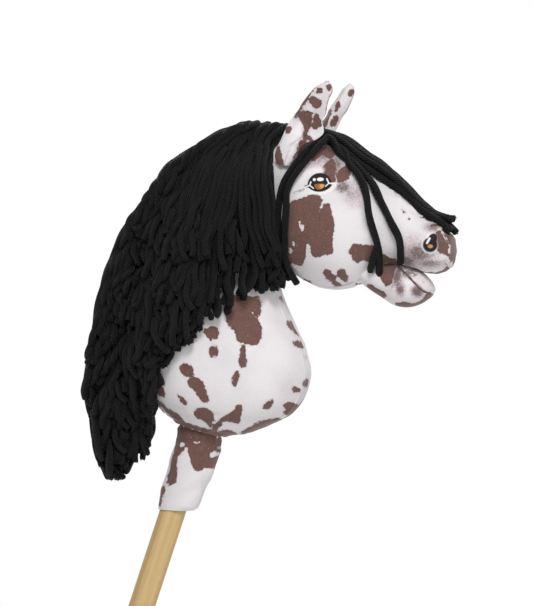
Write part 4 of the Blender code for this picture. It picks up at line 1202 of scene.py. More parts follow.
def split_off(bm, kept):
    """A new bmesh that keeps only some faces, named by their number in the panel layer."""
    part = bm.copy()
    layer = part.faces.layers.int["panel"]
    spare = [face for face in part.faces if face[layer] != kept]
    bmesh.ops.delete(part, geom=spare, context="FACES")
    return part


def add_cloth(name, bm, material, thickness):
    """A panel whose thickness goes inwards from its outer face."""
    for edge in bm.edges:
        edge.smooth = not edge.is_boundary
    obj = add_smooth(name, bm, material)
    wall = obj.modifiers.new("Cloth thickness", "SOLIDIFY")
    wall.thickness = thickness * MM
    wall.offset = -1.0
    return obj


def add_filling(name, points, weld):
    """The filling inside a grid of points, closed at both ends."""
    bm = bmesh.new()
    shaped_grid(bm, place(points))
    bmesh.ops.remove_doubles(bm, verts=bm.verts, dist=weld)
    bmesh.ops.holes_fill(bm, edges=bm.edges)
    bmesh.ops.triangulate(bm, faces=[face for face in bm.faces if len(face.verts) > 4])
    bmesh.ops.recalc_face_normals(bm, faces=bm.faces)
    obj = add_smooth("filling_" + name, bm, material_of("polyester_filling"))
    hand_over(obj, "root", "filling", name)


def gusset_share(skin):
    """0 where the side's print shows, and 1 on the far half of the front and of the crest."""
    part = skin.rounds % 1.0
    region = skin.rounds.astype(int)
    from_far = np.where(region == FRONT, part, 1.0 - part)
    inside = (region % 2 == 1) & (skin.rounds < 4)
    share = np.minimum(np.clip((0.6 - from_far) / 0.2, 0, 1), np.clip(from_far / 0.2, 0, 1))
    rows = (skin.rows > BASE_SEAM)[:, None]
    return np.where(inside[None, :] & rows, share[None, :], 0.0)


def mark_skin(skin):
    """The print on the tube and on the nose, with its airbrushing and the painted shade along a seam."""
    share = gusset_share(skin)
    tube = (1 - share) * coat_at(skin.tube, SPOTS, HOLES)
    wanted = share > 0
    tube[wanted] += share[wanted] * blotches_at(skin.tube[wanted])
    inside = np.abs(skin.rounds % 1.0 - 0.5)[None, :]
    mouth = (skin.rows >= LIP_SEAM)[:, None] & ((skin.rounds > FRONT) & (skin.rounds < 4))[None, :]
    tube = np.where(mouth, np.minimum(tube, (inside - MOUTH_INSIDE) * 40), tube)
    patch_height, wide, high = NOSE_PATCH
    patch = np.hypot(skin.nose[..., 1] / wide, (skin.nose[..., 2] - patch_height) / high)
    nose = np.minimum((patch - 1) * wide, coat_at(skin.nose, SPOTS, HOLES))
    airbrush_and_shade = airbrush_and_shade_at(skin.tube)
    lower_back_seam_shadow = (skin.rows > BASE_SEAM) & (skin.rows < BASE_SEAM + 5)
    # A dark line of painted shadow along the seam at the lower back.
    airbrush_and_shade[lower_back_seam_shadow, skin.column(1.0)] = SEAM_SHADOW_MARK
    return {"coat": (tube, nose), "airbrush_and_shade": (airbrush_and_shade, airbrush_and_shade_at(skin.nose))}


def stuffed_skin(cells, coarse, swell):
    """A skin that swells as the coarse trial did."""
    skin = Skin(*cells)
    skin.lift(on_skin(coarse, swell, skin), np.zeros(skin.nose.shape[:2]))
    return skin


def build_bag(cloth):
    coarse, swell = stuffed_heights(cloth)
    skin = stuffed_skin(CLOTH_CELLS, coarse, swell)
    skin.sew(cloth)
    bm = skin.sewn(mark_skin(skin))
    printed = spotted_cloth(cloth, "spotted_cotton")
    dark = spotted_cloth(cloth, "mouth_cotton")
    for number, name in enumerate(PANELS):
        panel = split_off(bm, number)
        look = dark if name == "upper_lip_lining" else printed
        obj = add_cloth("cloth_" + name, panel, look, cloth.thickness)
        hand_over(obj, "root", "brown_cloth" if look is dark else "spotted_cloth", name)
    bm.free()
    inner = stuffed_skin(FILLING_CELLS, coarse, swell)
    inset = inner.tube - inner.normals * (cloth.thickness + cloth.filling_gap)
    low, middle, high = inner.row(1), inner.row(STUFFING_SEAM), inner.row(NOSE_ROW)
    add_filling("neck_stuffing", inset[low : middle + 1], WELD)
    add_filling("head_stuffing", inset[middle : high + 1], WELD)


def material_of(name):
    makers = {
        "polyester_filling": filling_fibre,
        "wool_felt": felt,
        "cotton_tape": woven_tape,
    }
    return bpy.data.materials.get(name) or makers[name]()


def build_jaw(cloth):
    """The lower jaw: its lining over the top and round the tip, its outer panel, and its filling."""
    rows = np.linspace(0, len(JAW_ROWS) - 1, 8 * (len(JAW_ROWS) - 1) + 1)
    rounds = np.concatenate([np.arange(24) / 24, 1 + np.arange(37) / 36])
    points = jaw_points(rows, rounds)
    normals = grid_normals(points, True)
    if np.mean((points - np.array(JAW_MIDDLE))[:, :, 2] * normals[:, :, 2]) < 0:
        normals = -normals
    around = runs_along(points, 1)
    up = runs_along(points, 0)
    heights = np.zeros(points.shape[:2])
    line = np.zeros(points.shape[:2])
    for number, at in enumerate((0.0, 1.0)):
        column = int(np.argmin(np.abs(rounds - at)))
        away = np.abs(around - around[:, column : column + 1])
        away = np.minimum(away, around[:, -1:] - away)
        strength = np.clip((JAW_TIP_ROW + 0.6 - rows) / 1.5, 0, 1)[:, None]
        along = up[:, column : column + 1] + 0 * away
        heights += seam_height(cloth, away, along, strength * 1.1, 20 + number)
        # A dark line of painted shadow along each of the jaw's seams.
        line = np.maximum(line, np.where((away < 0.9) & (strength > 0.5), SEAM_SHADOW_MARK, 0.0))
    points = points + normals * heights[..., None]
    bm = marked_bmesh("row", "round", "coat", "airbrush_and_shade")
    layer = bm.faces.layers.int["panel"]
    row_layer = bm.verts.layers.float["row"]
    round_layer = bm.verts.layers.float["round"]
    corners = shaped_grid(bm, place(points))
    fill_layer(bm, "row", corners, np.repeat(rows[:, None], len(rounds), 1))
    fill_layer(bm, "round", corners, np.repeat(rounds[None], len(rows), 0))
    fill_layer(bm, "coat", corners, coat_at(points, SPOTS, HOLES))
    fill_layer(bm, "airbrush_and_shade", corners, np.maximum(line, airbrush_and_shade_at(points)))
    for face in bm.faces:
        row = sum(corner[row_layer] for corner in face.verts) / 4
        at = sum(corner[round_layer] for corner in face.verts) / 4
        face[layer] = 0 if at < 1 or row > JAW_TIP_ROW else 1
    bmesh.ops.remove_doubles(bm, verts=bm.verts, dist=WELD)
    bmesh.ops.recalc_face_normals(bm, faces=bm.faces)
    looks = [
        ("lower_lip_lining", lining_cloth(cloth), "brown_cloth"),
        ("lower_lip_panel", bpy.data.materials["spotted_cotton"], "spotted_cloth"),
    ]
    for number, (name, look, slot) in enumerate(looks):
        panel = split_off(bm, number)
        hand_over(add_cloth("cloth_" + name, panel, look, cloth.thickness), "root", slot, name)
    bm.free()
    inset = points - normals * (cloth.thickness + 2 * cloth.filling_gap)
    add_filling("jaw_stuffing", inset[:-4], JAW_FILLING_WELD)


def build_pole(wood):
    """The round pole with its eased ends."""
    depth = (wood.free_length + wood.inserted_length) * MM
    radius = wood.diameter / 2 * MM
    bm = bmesh.new()
    bmesh.ops.create_cone(bm, cap_ends=True, segments=96, radius1=radius, radius2=radius, depth=depth)
    rims = []
    for edge in bm.edges:
        a, b = (corner.co.z for corner in edge.verts)
        if abs(abs(a) + abs(b) - depth) < 1e-6 and abs(a - b) < 1e-6:
            rims.append(edge)
    bmesh.ops.bevel(
        bm, geom=rims, offset=wood.edge_round * MM, segments=5, affect="EDGES", profile=0.5, material=-1
    )
    bmesh.ops.translate(bm, verts=bm.verts, vec=(0.0, 0.0, depth / 2))
    bmesh.ops.rotate(bm, verts=bm.verts, cent=(0, 0, 0), matrix=Matrix.Rotation(POLE_LEAN, 3, "Y"))
    obj = add_smooth("wooden_pole", bm, pine(wood))
    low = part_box("pole")[0]
    obj.data.transform(Matrix.Translation((0.0, 0.0, low[2] - min(v.co.z for v in obj.data.vertices))))
    hand_over(obj, "root", "pine", "pole")


def finish_hidden_nodes():
    """The tapes and the felt pad are inside or under other pieces, and keep their packed shapes."""
    looks = {"pole_top_pad": "wool_felt", "mane_tape": "cotton_tape", "forelock_tape": "cotton_tape"}
    for name, look in looks.items():
        node = frame["nodes"][name]
        node.data.materials.clear()
        node.data.materials.append(material_of(look))


def lobe_edge(rows):
    """How far across the ear its rolled lobe reaches at each row, where 1 is its front edge."""
    return np.interp(rows, (1, 2, 3, 4, 5, 6.5), (1.08, 0.86, 0.63, 0.5, 0.43, 0.4))


def ear_sheet(side, rows, parts, puff):
    """One face of an ear as a grid: puff moves it out towards the camera's side of the cup."""
    edges = smooth_rows(EAR_ROWS if side > 0 else FAR_EAR_ROWS, rows)
    lx, lz, rx, rz, depth, cup = edges.T[:, :, None]
    part = np.asarray(parts)[None, :]
    row = np.asarray(rows)[:, None]
    x = lx + (rx - lx) * part
    z = lz + (rz - lz) * part
    bow = np.sin(math.pi * part) ** 1.2
    roll = hump(part, 0.0, 0.16) * 3.0 - hump(part, 0.3, 0.12) * 2.2
    fold = hump(part, 0.55, 0.06) * np.clip((9.0 - row) / 5, 0, 1) * 2.4
    crease = lobe_edge(row)
    lobe = np.sqrt(np.maximum(0.0, 1 - ((2 * part - crease) / (crease + 0.04)) ** 2)) * 6.0
    lobe = lobe - hump(part, crease, 0.04) * 3.0
    out = depth - cup * bow + roll * np.clip(cup / 7.0, 0, 1) - fold
    y = -(out + lobe * np.clip((6.5 - row) / 2.5, 0, 1))
    y = y - puff * np.sqrt(np.maximum(0.0, 1 - (2 * part - 1) ** 2)) * np.clip((14 - row) / 2, 0, 1)
    return np.stack([x + 0 * y, side * y, z + 0 * y], axis=2)


def ear_crease_shade_and_rims(rows, parts):
    """Painted shade in the crease beside the lobe, the darker rims further up, and a faint tint all over."""
    low = np.clip((6.0 - rows) / 2, 0, 1)
    # Painted shade in the crease beside the lobe.
    crease = hump(parts - lobe_edge(rows), 0.03, 0.03) * low
    rim = hump(np.minimum(parts, 1 - parts), 0.0, 0.05) * np.clip((rows - 6) / 2, 0, 1)
    return 0.08 + 0.9 * np.maximum(crease, rim * 0.8)


def build_ears(cloth):
    rows = np.linspace(0, len(EAR_ROWS) - 1, 6 * (len(EAR_ROWS) - 1) + 1)
    parts = np.linspace(0, 1, 33)
    printed = bpy.data.materials["spotted_cotton"]
    faces = (("front_panel", cloth.ear_puff, -1), ("back_panel", -cloth.ear_puff, 1))
    for name, side, spots, holes in (
        ("ear_near", 1.0, EAR_SPOTS, EAR_HOLES),
        ("ear_far", -1.0, FAR_EAR_SPOTS, {}),
    ):
        for face, puff, outward in faces:
            points = ear_sheet(side, rows, parts, puff)
            bm = marked_bmesh("coat", "airbrush_and_shade")
            corners = shaped_grid(bm, place(points))
            fill_layer(bm, "coat", corners, coat_at(points, spots, holes))
            fill_layer(bm, "airbrush_and_shade", corners, ear_crease_shade_and_rims(rows[:, None], parts[None, :]))
            bmesh.ops.recalc_face_normals(bm, faces=bm.faces)
            if sum(face.normal.y for face in bm.faces) * side * outward < 0:
                bmesh.ops.reverse_faces(bm, faces=bm.faces)
            obj = add_cloth(f"cloth_{name}_{face}", bm, printed, cloth.ear_thickness)
            hand_over(obj, name, "spotted_cloth", f"{name}_{face}")
        add_wadding(name, side, rows[7:-6], parts[2:-2], cloth)


def add_wadding(name, side, rows, parts, cloth):
    """The thin filling between an ear's two panels, which stops short of their edges."""
    inner = cloth.ear_puff - cloth.ear_thickness - 0.3
    bm = bmesh.new()
    loops = [shaped_grid(bm, place(ear_sheet(side, rows, parts, puff))) for puff in (inner, -inner)]
    rims = []
    for corners in loops:
        rims += [edge for edge in bm.edges if edge.is_boundary and edge.verts[0] in sum(corners, [])]
    bmesh.ops.bridge_loops(bm, edges=list(dict.fromkeys(rims)))
    bmesh.ops.recalc_face_normals(bm, faces=bm.faces)
    obj = add_smooth("wadding_" + name, bm, material_of("polyester_filling"))
    hand_over(obj, name, "filling", name + "_wadding")


class Drape:
    """Finds the cloth that yarn lies on."""

    def __init__(self, names):
        graph = bpy.context.evaluated_depsgraph_get()
        points, faces = [], []
        for name in names:
            mesh = bpy.data.objects[name].evaluated_get(graph).data
            start = len(points)
            points += [vertex.co / MM for vertex in mesh.vertices]
            faces += [tuple(start + corner for corner in face.vertices) for face in mesh.polygons]
        self.tree = BVHTree.FromPolygons(points, faces)

    def side(self, x, z):
        """How far the near side stands out at a point, or None beside it."""
        start = Vector((x + HEM[0], -900.0, z + HEM[2]))
        hit = self.tree.ray_cast(start, Vector((0.0, 1.0, 0.0)))
        return None if hit[0] is None else -hit[0].y

    def side_round(self, x, z, steps, least):
        """How far the near side stands out round a point, and at least so far."""
        found = [self.side(x + dx, z + dz) for dx, dz in steps]
        return max([value for value in found if value is not None] + [least])

    def top(self, x, y):
        """The height of the cloth's top at a point, or None beside it."""
        hit = self.tree.ray_cast(Vector((x + HEM[0], y, 1800.0)), Vector((0.0, 0.0, -1.0)))
        return None if hit[0] is None else hit[0].z - HEM[2]

    def push_out(self, point, room):
        """Moves a point off the cloth until it has so much room."""
        there = Vector(point + HEM)
        hit = self.tree.find_nearest(there)
        if hit[0] is None:
            return point
        away = there - hit[0]
        outside = away.dot(hit[1]) > 0
        if outside and away.length >= room:
            return point
        return np.array(hit[0] + hit[1] * room) - HEM


def run_of(path):
    """How far along a path each of its points is."""
    return np.concatenate([[0.0], np.cumsum(np.linalg.norm(np.diff(path, axis=0), axis=1))])


def at_runs(path, shares):
    """The points at some shares of the length of a smooth curve through a path."""
    path = np.asarray(path, float)
    dense = smooth_rows(path, np.linspace(0, len(path) - 1, 14 * len(path)))
    run = run_of(dense)
    runs = np.asarray(shares) * run[-1]
    return np.stack([np.interp(runs, run, dense[:, axis]) for axis in range(path.shape[1])], axis=1)


def evenly(points, count):
    """So many points, evenly spaced along a smooth curve through a path."""
    return at_runs(points, np.linspace(0.0, 1.0, count))


def length_of(path):
    return float(np.linalg.norm(np.diff(path, axis=0), axis=1).sum())


def across_line(line):
    """Two directions across a line at each of its points, carried along it without turning."""
    along = np.gradient(line, axis=0)
    along /= np.maximum(np.linalg.norm(along, axis=1), 1e-9)[:, None]
    across = np.cross(along[0], (0.31, 0.83, 0.46))
    first, second = [], []
    for way in along:
        across = across - way * (across @ way)
        across = across / np.linalg.norm(across)
        first.append(across)
        second.append(np.cross(way, across))
    return np.array(first), np.array(second), along


def add_tube(bm, line, radii, frames, start):
    """A closed tube along a line, whose corners know how far along the yarn they are."""
    sides = radii.shape[1] - 1
    angle = np.append(np.arange(sides) / sides, 0.0) * 2 * math.pi
    first, second = frames[0], frames[1]
    points = line[:, None] + radii[..., None] * (
        first[:, None] * np.cos(angle)[None, :, None] + second[:, None] * np.sin(angle)[None, :, None]
    )
    corners = shaped_grid(bm, place(points))
    fill_layer(bm, "run", corners, np.repeat(start + run_of(line)[:, None], sides + 1, 1))


def lay_strand(bm, path, yarn, chance):
    """One strand: a soft round tube with blunt ends, and a few plies that stick out where it is cut."""
    length = length_of(path)
    count = max(5, int(length / yarn.point_spacing))
    blunt = np.array([0.0, 0.4, 1.4])
    runs = np.concatenate([blunt, np.linspace(3.0, length - 3.0, count), length - blunt[::-1]])
    line = at_runs(path, runs / length)
    frames = across_line(line)
    ends = np.ones(len(runs))
    ends[[0, -1]] = 0.5
    ends[[1, -2]] = 0.87
    first = chance.uniform(0, 2 * math.pi)
    size = yarn.radius * chance.uniform(0.84, 1.05) * ends * (1 + 0.05 * np.sin(runs / 6.5 + first))
    angle = np.append(np.arange(yarn.sides) / yarn.sides, 0.0) * 2 * math.pi
    lobes = np.cos(3 * angle[None, :] - 2 * math.pi * runs[:, None] / yarn.lobe_lay + first)
    start = chance.uniform(0, 500)
    add_tube(bm, line, size[:, None] * (1 + yarn.lobe_depth * lobes), frames, start)
    for _ in range(yarn.end_plies):
        turn = chance.uniform(0, 2 * math.pi)
        out = frames[0][-1] * math.cos(turn) + frames[1][-1] * math.sin(turn)
        begin = line[-1] + out * yarn.radius * chance.uniform(0.35, 0.75) - frames[2][-1] * 2.0
        reach = frames[2][-1] * chance.uniform(2.2, 3.4) + out * chance.uniform(-0.3, 0.7)
        ply = np.array([begin, begin + reach * 0.6, begin + reach])
        radii = np.array([0.8, 0.75, 0.3]) * chance.uniform(0.7, 1.1)
        add_tube(bm, ply, np.repeat(radii[:, None], 5, 1), across_line(ply), start)


def add_yarn(name, paths, yarn, seed):
    """One piece of yarn from the paths of its strands."""
    chance = random.Random(seed)
    bm = bmesh.new()
    bm.loops.layers.uv.new("UVMap")
    bm.verts.layers.float.new("run")
    for path in paths:
        lay_strand(bm, path, yarn, chance)
    bmesh.ops.remove_doubles(bm, verts=bm.verts, dist=YARN_WELD)
    bmesh.ops.holes_fill(bm, edges=bm.edges)
    bmesh.ops.recalc_face_normals(bm, faces=bm.faces)
    return add_smooth(name, bm, bpy.data.materials.get("black_acrylic_yarn") or black_yarn(yarn))


def between_guides(guides, number):
    """The path part of the way from one guide to the next, such as 2.4."""
    first = min(int(number), len(guides) - 2)
    a, b = evenly(guides[first], 24), evenly(guides[first + 1], 24)
    return a + (b - a) * (number - first)


def tail_out(z):
    """How far out the mane hangs where nothing holds it off: it falls back towards the middle."""
    return float(np.interp(z, MANE_TAIL_FALL, (MANE_TAIL_Y, MANE_ROOT_Y)))


def hang_strand(flat, drape, layer, lift, chance, start_y):
    """A strand of the mane: from the tape over the roots, then along the crest and down the near side."""
    crest = smooth_rows(bag_rows(), np.linspace(7, POLL_SEAM + 2, 120))[:, 2:4]
    nearest = crest[np.argmin(np.linalg.norm(crest - flat[0], axis=1))]
    buried = (TOP_LAYER - layer) * LAYER_STEP * 0.75
    path = [(nearest[0], start_y + 13.0, nearest[1] + 3.0)]
    middle = nearest + (flat[0] - nearest) * 0.6
    path.append((middle[0], start_y + 6.0, middle[1] - buried * 0.5))
    run = 0.0
    for i, (x, z) in enumerate(flat):
        surface = drape.side_round(x, z, ((0, 0), (-5, 0), (5, 0), (0, 7), (0, -7)), tail_out(z))
        run += 0.0 if i == 0 else float(np.linalg.norm(flat[i] - flat[i - 1]))
        settled = min(1.0, run / SETTLED_RUN)
        sewn = 6.0 + 9.0 * layer / TOP_LAYER
        out = (surface + YARN_ROOM + lift) * settled + sewn * (1 - settled)
        path.append((x, -out, z - buried * (1 - min(1.0, run / BURIED_RUN))))
    path = evenly(path, 40)
    outs = path[:, 1].copy()
    for _ in range(4):
        smoothed = outs.copy()
        smoothed[1:-1] = (outs[:-2] + outs[1:-1] + outs[2:]) / 3
        outs[3:] = np.minimum(outs, smoothed)[3:]
    path[:, 1] = outs
    length = length_of(path)
    curl = np.clip(1 - (1 - np.linspace(0, 1, len(path))) * length / 38.0, 0, 1) ** 2
    path[:, 0] += curl * chance.uniform(-9, 9)
    path[:, 1] -= curl * chance.uniform(-1, 4)
    path[:, 2] += curl * chance.uniform(0, 8)
    return wobbled(path, chance, 1.3, 5.6)


def curl_out(number, drape, chance):
    """A short piece of a strand that comes up between the others, bends aside and ends."""
    guide = between_guides(OUTER_GUIDES, number)
    start = chance.uniform(0.36, 0.88)
    reach = chance.uniform(32, 62) / length_of(guide)
    flat = at_runs(guide, np.linspace(start, min(1.0, start + reach), 10))
    share = np.linspace(0, 1, 10)
    bend = chance.uniform(-18, 18)
    flat[:, 0] += bend * share**2
    flat[:, 1] += abs(bend) * 0.9 * share**3
    path = []
    for (x, z), part in zip(flat, share):
        out = drape.side_round(x, z, ((-5, 0), (0, 0), (5, 0)), tail_out(z))
        lift = (TOP_LAYER - 0.9 + 1.5 * math.sin(math.pi * min(1.0, part + 0.1))) * LAYER_STEP
        path.append((x, -out - YARN_ROOM - lift, z))
    return wobbled(evenly(path, 16), chance, 1.6)


def wobbled(path, chance, size, end_size=None):
    """A path with the slow bends that a strand of yarn keeps from its ball, more of them to its end."""
    share = np.linspace(0, 1, len(path))
    length = length_of(path)
    end_size = size if end_size is None else end_size
    grown = size + (end_size - size) * np.clip((share * length - 90) / 120, 0, 1)
    for axis, reach in ((0, 1.0), (1, 0.4), (2, 0.4)):
        waves = sum(
            chance.uniform(-1, 1) * np.sin(2 * math.pi * (share * length / wave + chance.random()))
            for wave in (160.0, 75.0, 42.0)
        )
        path[:, axis] += waves * grown * reach * np.clip(share * 4, 0, 1) * 0.6
    return path


def hold_inside(points, outline, room):
    """Keeps yarn inside the outline that it makes against the sky."""
    flat = points[:, [0, 2]]
    nearest = np.full(len(points), 1e9)
    shift = np.zeros((len(points), 2))
    for a, b in zip(np.array(outline, float), np.array(outline[1:], float)):
        along = b - a
        share = np.clip((flat - a) @ along / (along @ along), 0, 1)
        away = flat - a - share[:, None] * along
        distance = np.linalg.norm(away, axis=1)
        out = np.array([along[1], -along[0]]) / np.linalg.norm(along)
        beyond = away @ out + room
        closer = distance < nearest
        nearest = np.where(closer, distance, nearest)
        shift[closer] = (-np.maximum(beyond, 0.0)[:, None] * out)[closer]
    points = points.copy()
    points[:, [0, 2]] += shift
    if outline is MANE_OUTLINE:
        edge_x, edge_z = zip(*TAIL_EDGE)
        points[:, 0] = np.minimum(points[:, 0], np.interp(points[:, 2], edge_z, edge_x) - room)
    return points


def spread_apart(paths, drape, room, cloth_room, rounds=10, held=3, outline=None, stray=0.0):
    """Moves strands off each other and off the cloth, and leaves their first points held."""
    counts = [len(path) for path in paths]
    owner = np.repeat(np.arange(len(paths)), counts)
    order = np.concatenate([np.arange(count) for count in counts])
    points = np.concatenate(paths)
    freedom = np.clip((order - held) / 3.0, 0.0, 1.0)
    for _ in range(rounds):
        tree = KDTree(len(points))
        for i, point in enumerate(points):
            tree.insert(point, i)
        tree.balance()
        moved = np.zeros_like(points)
        for i, point in enumerate(points):
            for there, j, away in tree.find_range(point, room):
                if owner[j] != owner[i] and away > 1e-6:
                    moved[i] += (point - np.array(there)) / away * (room - away) * 0.28
        points = points + moved * freedom[:, None]
        points[:, 1] = np.maximum(points[:, 1], -FARTHEST_OUT)
        if outline:
            points = hold_inside(points, outline, YARN_ROOM - stray * (STRAY_STEP * owner % 1.0) ** 2)
        for i in range(len(points)):
            if freedom[i] > 0:
                points[i] = drape.push_out(points[i], cloth_room)
    found = []
    start = 0
    for count in counts:
        path = points[start : start + count].copy()
        path[1:-1] = 0.25 * path[:-2] + 0.5 * path[1:-1] + 0.25 * path[2:]
        found.append(path)
        start += count
    return found


# How far a strand runs until it lies on the neck, and until it isn't buried under others.
SETTLED_RUN = 55.0
BURIED_RUN = 45.0
# Steps round the circle that spread how far strands stray past their outline.
STRAY_STEP = 0.618
# Each row of an ear from its base to its tip: (x, z) of its back edge, (x, z) of its front edge, how
# far it stands out from the middle of the horse, and how deep its cup is.
EAR_ROWS = [
    (112.0, 338.0, 125.0, 336.0, 46.0, 0.5),
    (110.0, 346.0, 130.0, 345.0, 49.0, 1.5),
    (113.0, 355.0, 137.0, 356.0, 51.0, 1.5),
    (116.3, 360.5, 149.0, 360.5, 52.5, 2.5),
    (119.5, 366.5, 157.5, 366.5, 54.0, 4.5),
    (122.6, 373.0, 158.5, 372.5, 55.5, 6.5),
    (126.3, 379.0, 157.5, 379.0, 57.0, 7.5),
    (131.0, 385.2, 161.0, 385.2, 58.5, 6.5),
    (135.0, 390.0, 162.3, 390.2, 59.5, 5.5),
    (137.7, 394.7, 163.4, 395.8, 60.5, 5.0),
    (141.4, 400.0, 165.3, 401.0, 61.5, 4.0),
    (146.4, 406.0, 168.2, 406.5, 62.5, 3.0),
    (152.0, 411.8, 168.6, 410.8, 63.2, 2.0),
    (158.4, 415.6, 167.0, 415.2, 63.8, 0.8),
    (163.0, 418.0, 164.5, 418.0, 64.0, 0.0),
]
FAR_EAR_ROWS = [
    (112.0, 338.0, 125.0, 336.0, 46.0, 0.5),
    (112.0, 346.0, 130.0, 345.0, 49.0, 1.5),
    (118.0, 355.0, 137.0, 356.0, 51.0, 4.0),
    (124.0, 360.5, 144.0, 360.5, 52.5, 6.0),
    (129.5, 366.5, 149.0, 366.5, 54.0, 7.0),
    (132.6, 373.0, 152.2, 372.5, 55.5, 7.0),
    (136.3, 379.0, 155.2, 379.0, 57.0, 6.5),
    (141.0, 385.2, 158.1, 385.2, 58.5, 6.0),
    (142.8, 390.0, 161.6, 390.2, 59.5, 5.5),
    (145.5, 394.7, 164.2, 395.8, 60.5, 5.0),
    (149.0, 400.0, 166.4, 401.0, 61.5, 4.0),
    (153.0, 406.0, 168.4, 406.5, 62.5, 3.0),
    (156.8, 411.8, 168.4, 410.8, 63.2, 2.0),
    (161.0, 415.2, 167.0, 414.8, 63.8, 0.8),
    (163.4, 417.0, 164.5, 417.0, 64.0, 0.0),
]
# The patch on the front of the nose: the height of its middle, its half width and half height.
NOSE_PATCH = (256.5, 12.5, 16.0)
# How far from the middle of the mouth's lining its print starts, as a share of its width.
MOUTH_INSIDE = 0.3
JAW_MIDDLE = (228.0, 0.0, 217.0)

# Guides for the mane as it hangs on the near side, from the crest down, in (x, z). The outer ones
# start on the crest's outline, and fan out from behind the ears to the back of the neck.
OUTER_GUIDES = [
    [
        (117, 378), (107, 369), (101, 357), (100.5, 340), (106.5, 317), (111, 295), (111, 272),
        (112, 249), (114, 221),
    ],
    [
        (101, 375), (92, 363), (89, 348), (85, 331), (84, 311), (84, 295), (87, 277), (92, 260),
        (94, 240), (97, 210),
    ],
    [
        (87, 374), (76, 359), (66, 341), (59, 317), (52, 295), (47, 277), (42, 260), (38, 243),
        (34, 216), (31, 172),
    ],
    [
        (82, 377), (68, 368), (53, 353), (43, 337), (34, 317), (28, 299), (25, 283), (22, 270),
        (19, 245), (16, 207), (15, 155),
    ],
    [
        (65, 376), (50, 366), (35, 354), (25, 340), (17, 324), (12, 306), (7, 290), (2, 265), (-3, 231),
        (-7, 187), (-8, 142),
    ],
    [
        (52, 371), (37, 360), (21, 347), (10, 335), (1, 321), (-6, 304), (-12, 279), (-18, 250),
        (-23, 216), (-27, 177), (-30, 139), (-33, 100),
    ],
    [
        (27, 354), (13, 342), (0, 325), (-11, 306), (-20, 282), (-28, 255), (-35, 221), (-40, 187),
        (-44, 148), (-46, 110), (-48, 71), (-48, 30),
    ],
    [
        (11, 339), (-4, 321), (-16, 302), (-27, 279), (-37, 250), (-45, 216), (-52, 182), (-58, 148),
        (-60, 110), (-59, 71), (-57, 29),
    ],
    [
        (-4, 323), (-14, 310), (-28, 289), (-40, 270), (-50, 250), (-58, 231), (-63, 211), (-68, 192),
        (-75, 163), (-78, 139), (-80, 114), (-76, 85), (-71, 48),
    ],
]
# How far down its guide the topmost layer of each outer guide reaches.
TOP_REACH = [0.86, 0.82, 0.7, 0.62, 0.54, 0.47, 0.42, 0.5, 0.66]
INNER_GUIDES = [
    [(26, 333), (24, 304), (36, 265), (44, 221), (48, 185)],
    [(12, 313), (9, 279), (18, 236), (26, 197), (29, 163)],
    [(2, 289), (-3, 255), (3, 207), (7, 168), (7, 141)],
    [(-5, 260), (-13, 226), (-13, 178), (-9, 139), (-7, 105)],
    [(-10, 226), (-23, 197), (-27, 148), (-23, 100), (-17, 61)],
    [(-13, 192), (-31, 168), (-39, 119), (-35, 71), (-34, 38)],
    [(-13, 163), (-37, 148), (-51, 110), (-51, 71), (-51, 28)],
    [(-15, 139), (-45, 139), (-63, 119), (-68, 85), (-64, 36)],
]
# The mane's pieces: the CAD lock each stands for, then bundles of strands as (guides, first, last,
# number of strands in each layer).
MANE_PIECES = {
    "mane_front_lock_a": [("outer", 0.0, 1.0, 4)],
    "mane_front_lock_b": [("outer", 1.0, 2.1, 5)],
    "mane_front_lock_c": [("outer", 2.1, 3.4, 6), ("inner", 0.0, 0.6, 3)],
    "mane_front_lock_d": [("outer", 3.4, 4.6, 6), ("inner", 0.6, 1.0, 3)],
    "mane_middle_lock_a": [("outer", 4.6, 5.8, 6), ("inner", 1.0, 1.6, 3)],
    "mane_middle_lock_b": [("outer", 5.8, 6.9, 6), ("inner", 1.6, 2.4, 4)],
    "mane_middle_lock_c": [("outer", 6.9, 8.0, 7), ("inner", 2.4, 3.4, 5)],
    "mane_back_lock_a": [("inner", 3.4, 4.4, 6)],
    "mane_back_lock_b": [("inner", 4.4, 5.3, 6)],
    "mane_back_lock_c": [("inner", 5.3, 6.2, 6)],
    "mane_back_lock_d": [("inner", 6.2, 7.0, 6)],
}
# Short curled ends that come out of the mane: the piece, between which guides, and how many.
MANE_TUFTS = [
    ("mane_front_lock_b", 1.0, 2.1, 2),
    ("mane_front_lock_c", 2.1, 3.4, 6),
    ("mane_front_lock_d", 3.4, 4.6, 8),
    ("mane_middle_lock_a", 4.6, 5.8, 10),
    ("mane_middle_lock_b", 5.8, 6.9, 13),
    ("mane_middle_lock_c", 6.9, 7.9, 12),
]
# Where each part of the mane turns from lying on the crest to moving with its own body.
MANE_BENDS = {
    "front": ((70.0, -14.0, 372.0), (70.0, -42.0, 365.0)),
    "middle": ((8.0, -12.0, 330.0), (8.0, -38.0, 326.0)),
    "back": ((-25.0, -10.0, 260.0), (-36.0, -33.0, 258.0)),
}
# The mane's outline against the sky, from the poll back and down, in (x, z).
MANE_OUTLINE = [
    (150, 375), (112, 378), (87, 379), (73, 378), (53, 371), (38, 361), (18, 349), (4, 338), (-6, 323),
    (-16, 310), (-31, 289), (-43, 270), (-52, 250), (-60, 231), (-65, 211), (-68, 192), (-71, 177),
    (-74, 162), (-79, 142), (-82, 127), (-78, 95), (-73, 54), (-68, 43), (-62, 31), (-40, 30),
    (-36, 41), (-27, 43), (-21, 50),
]
# The tail's edge beside the neck, as (x, z), which the mane leaves free above it.
TAIL_EDGE = [(-26, 28), (-20, 50), (-14, 100), (20, 128), (220, 165)]
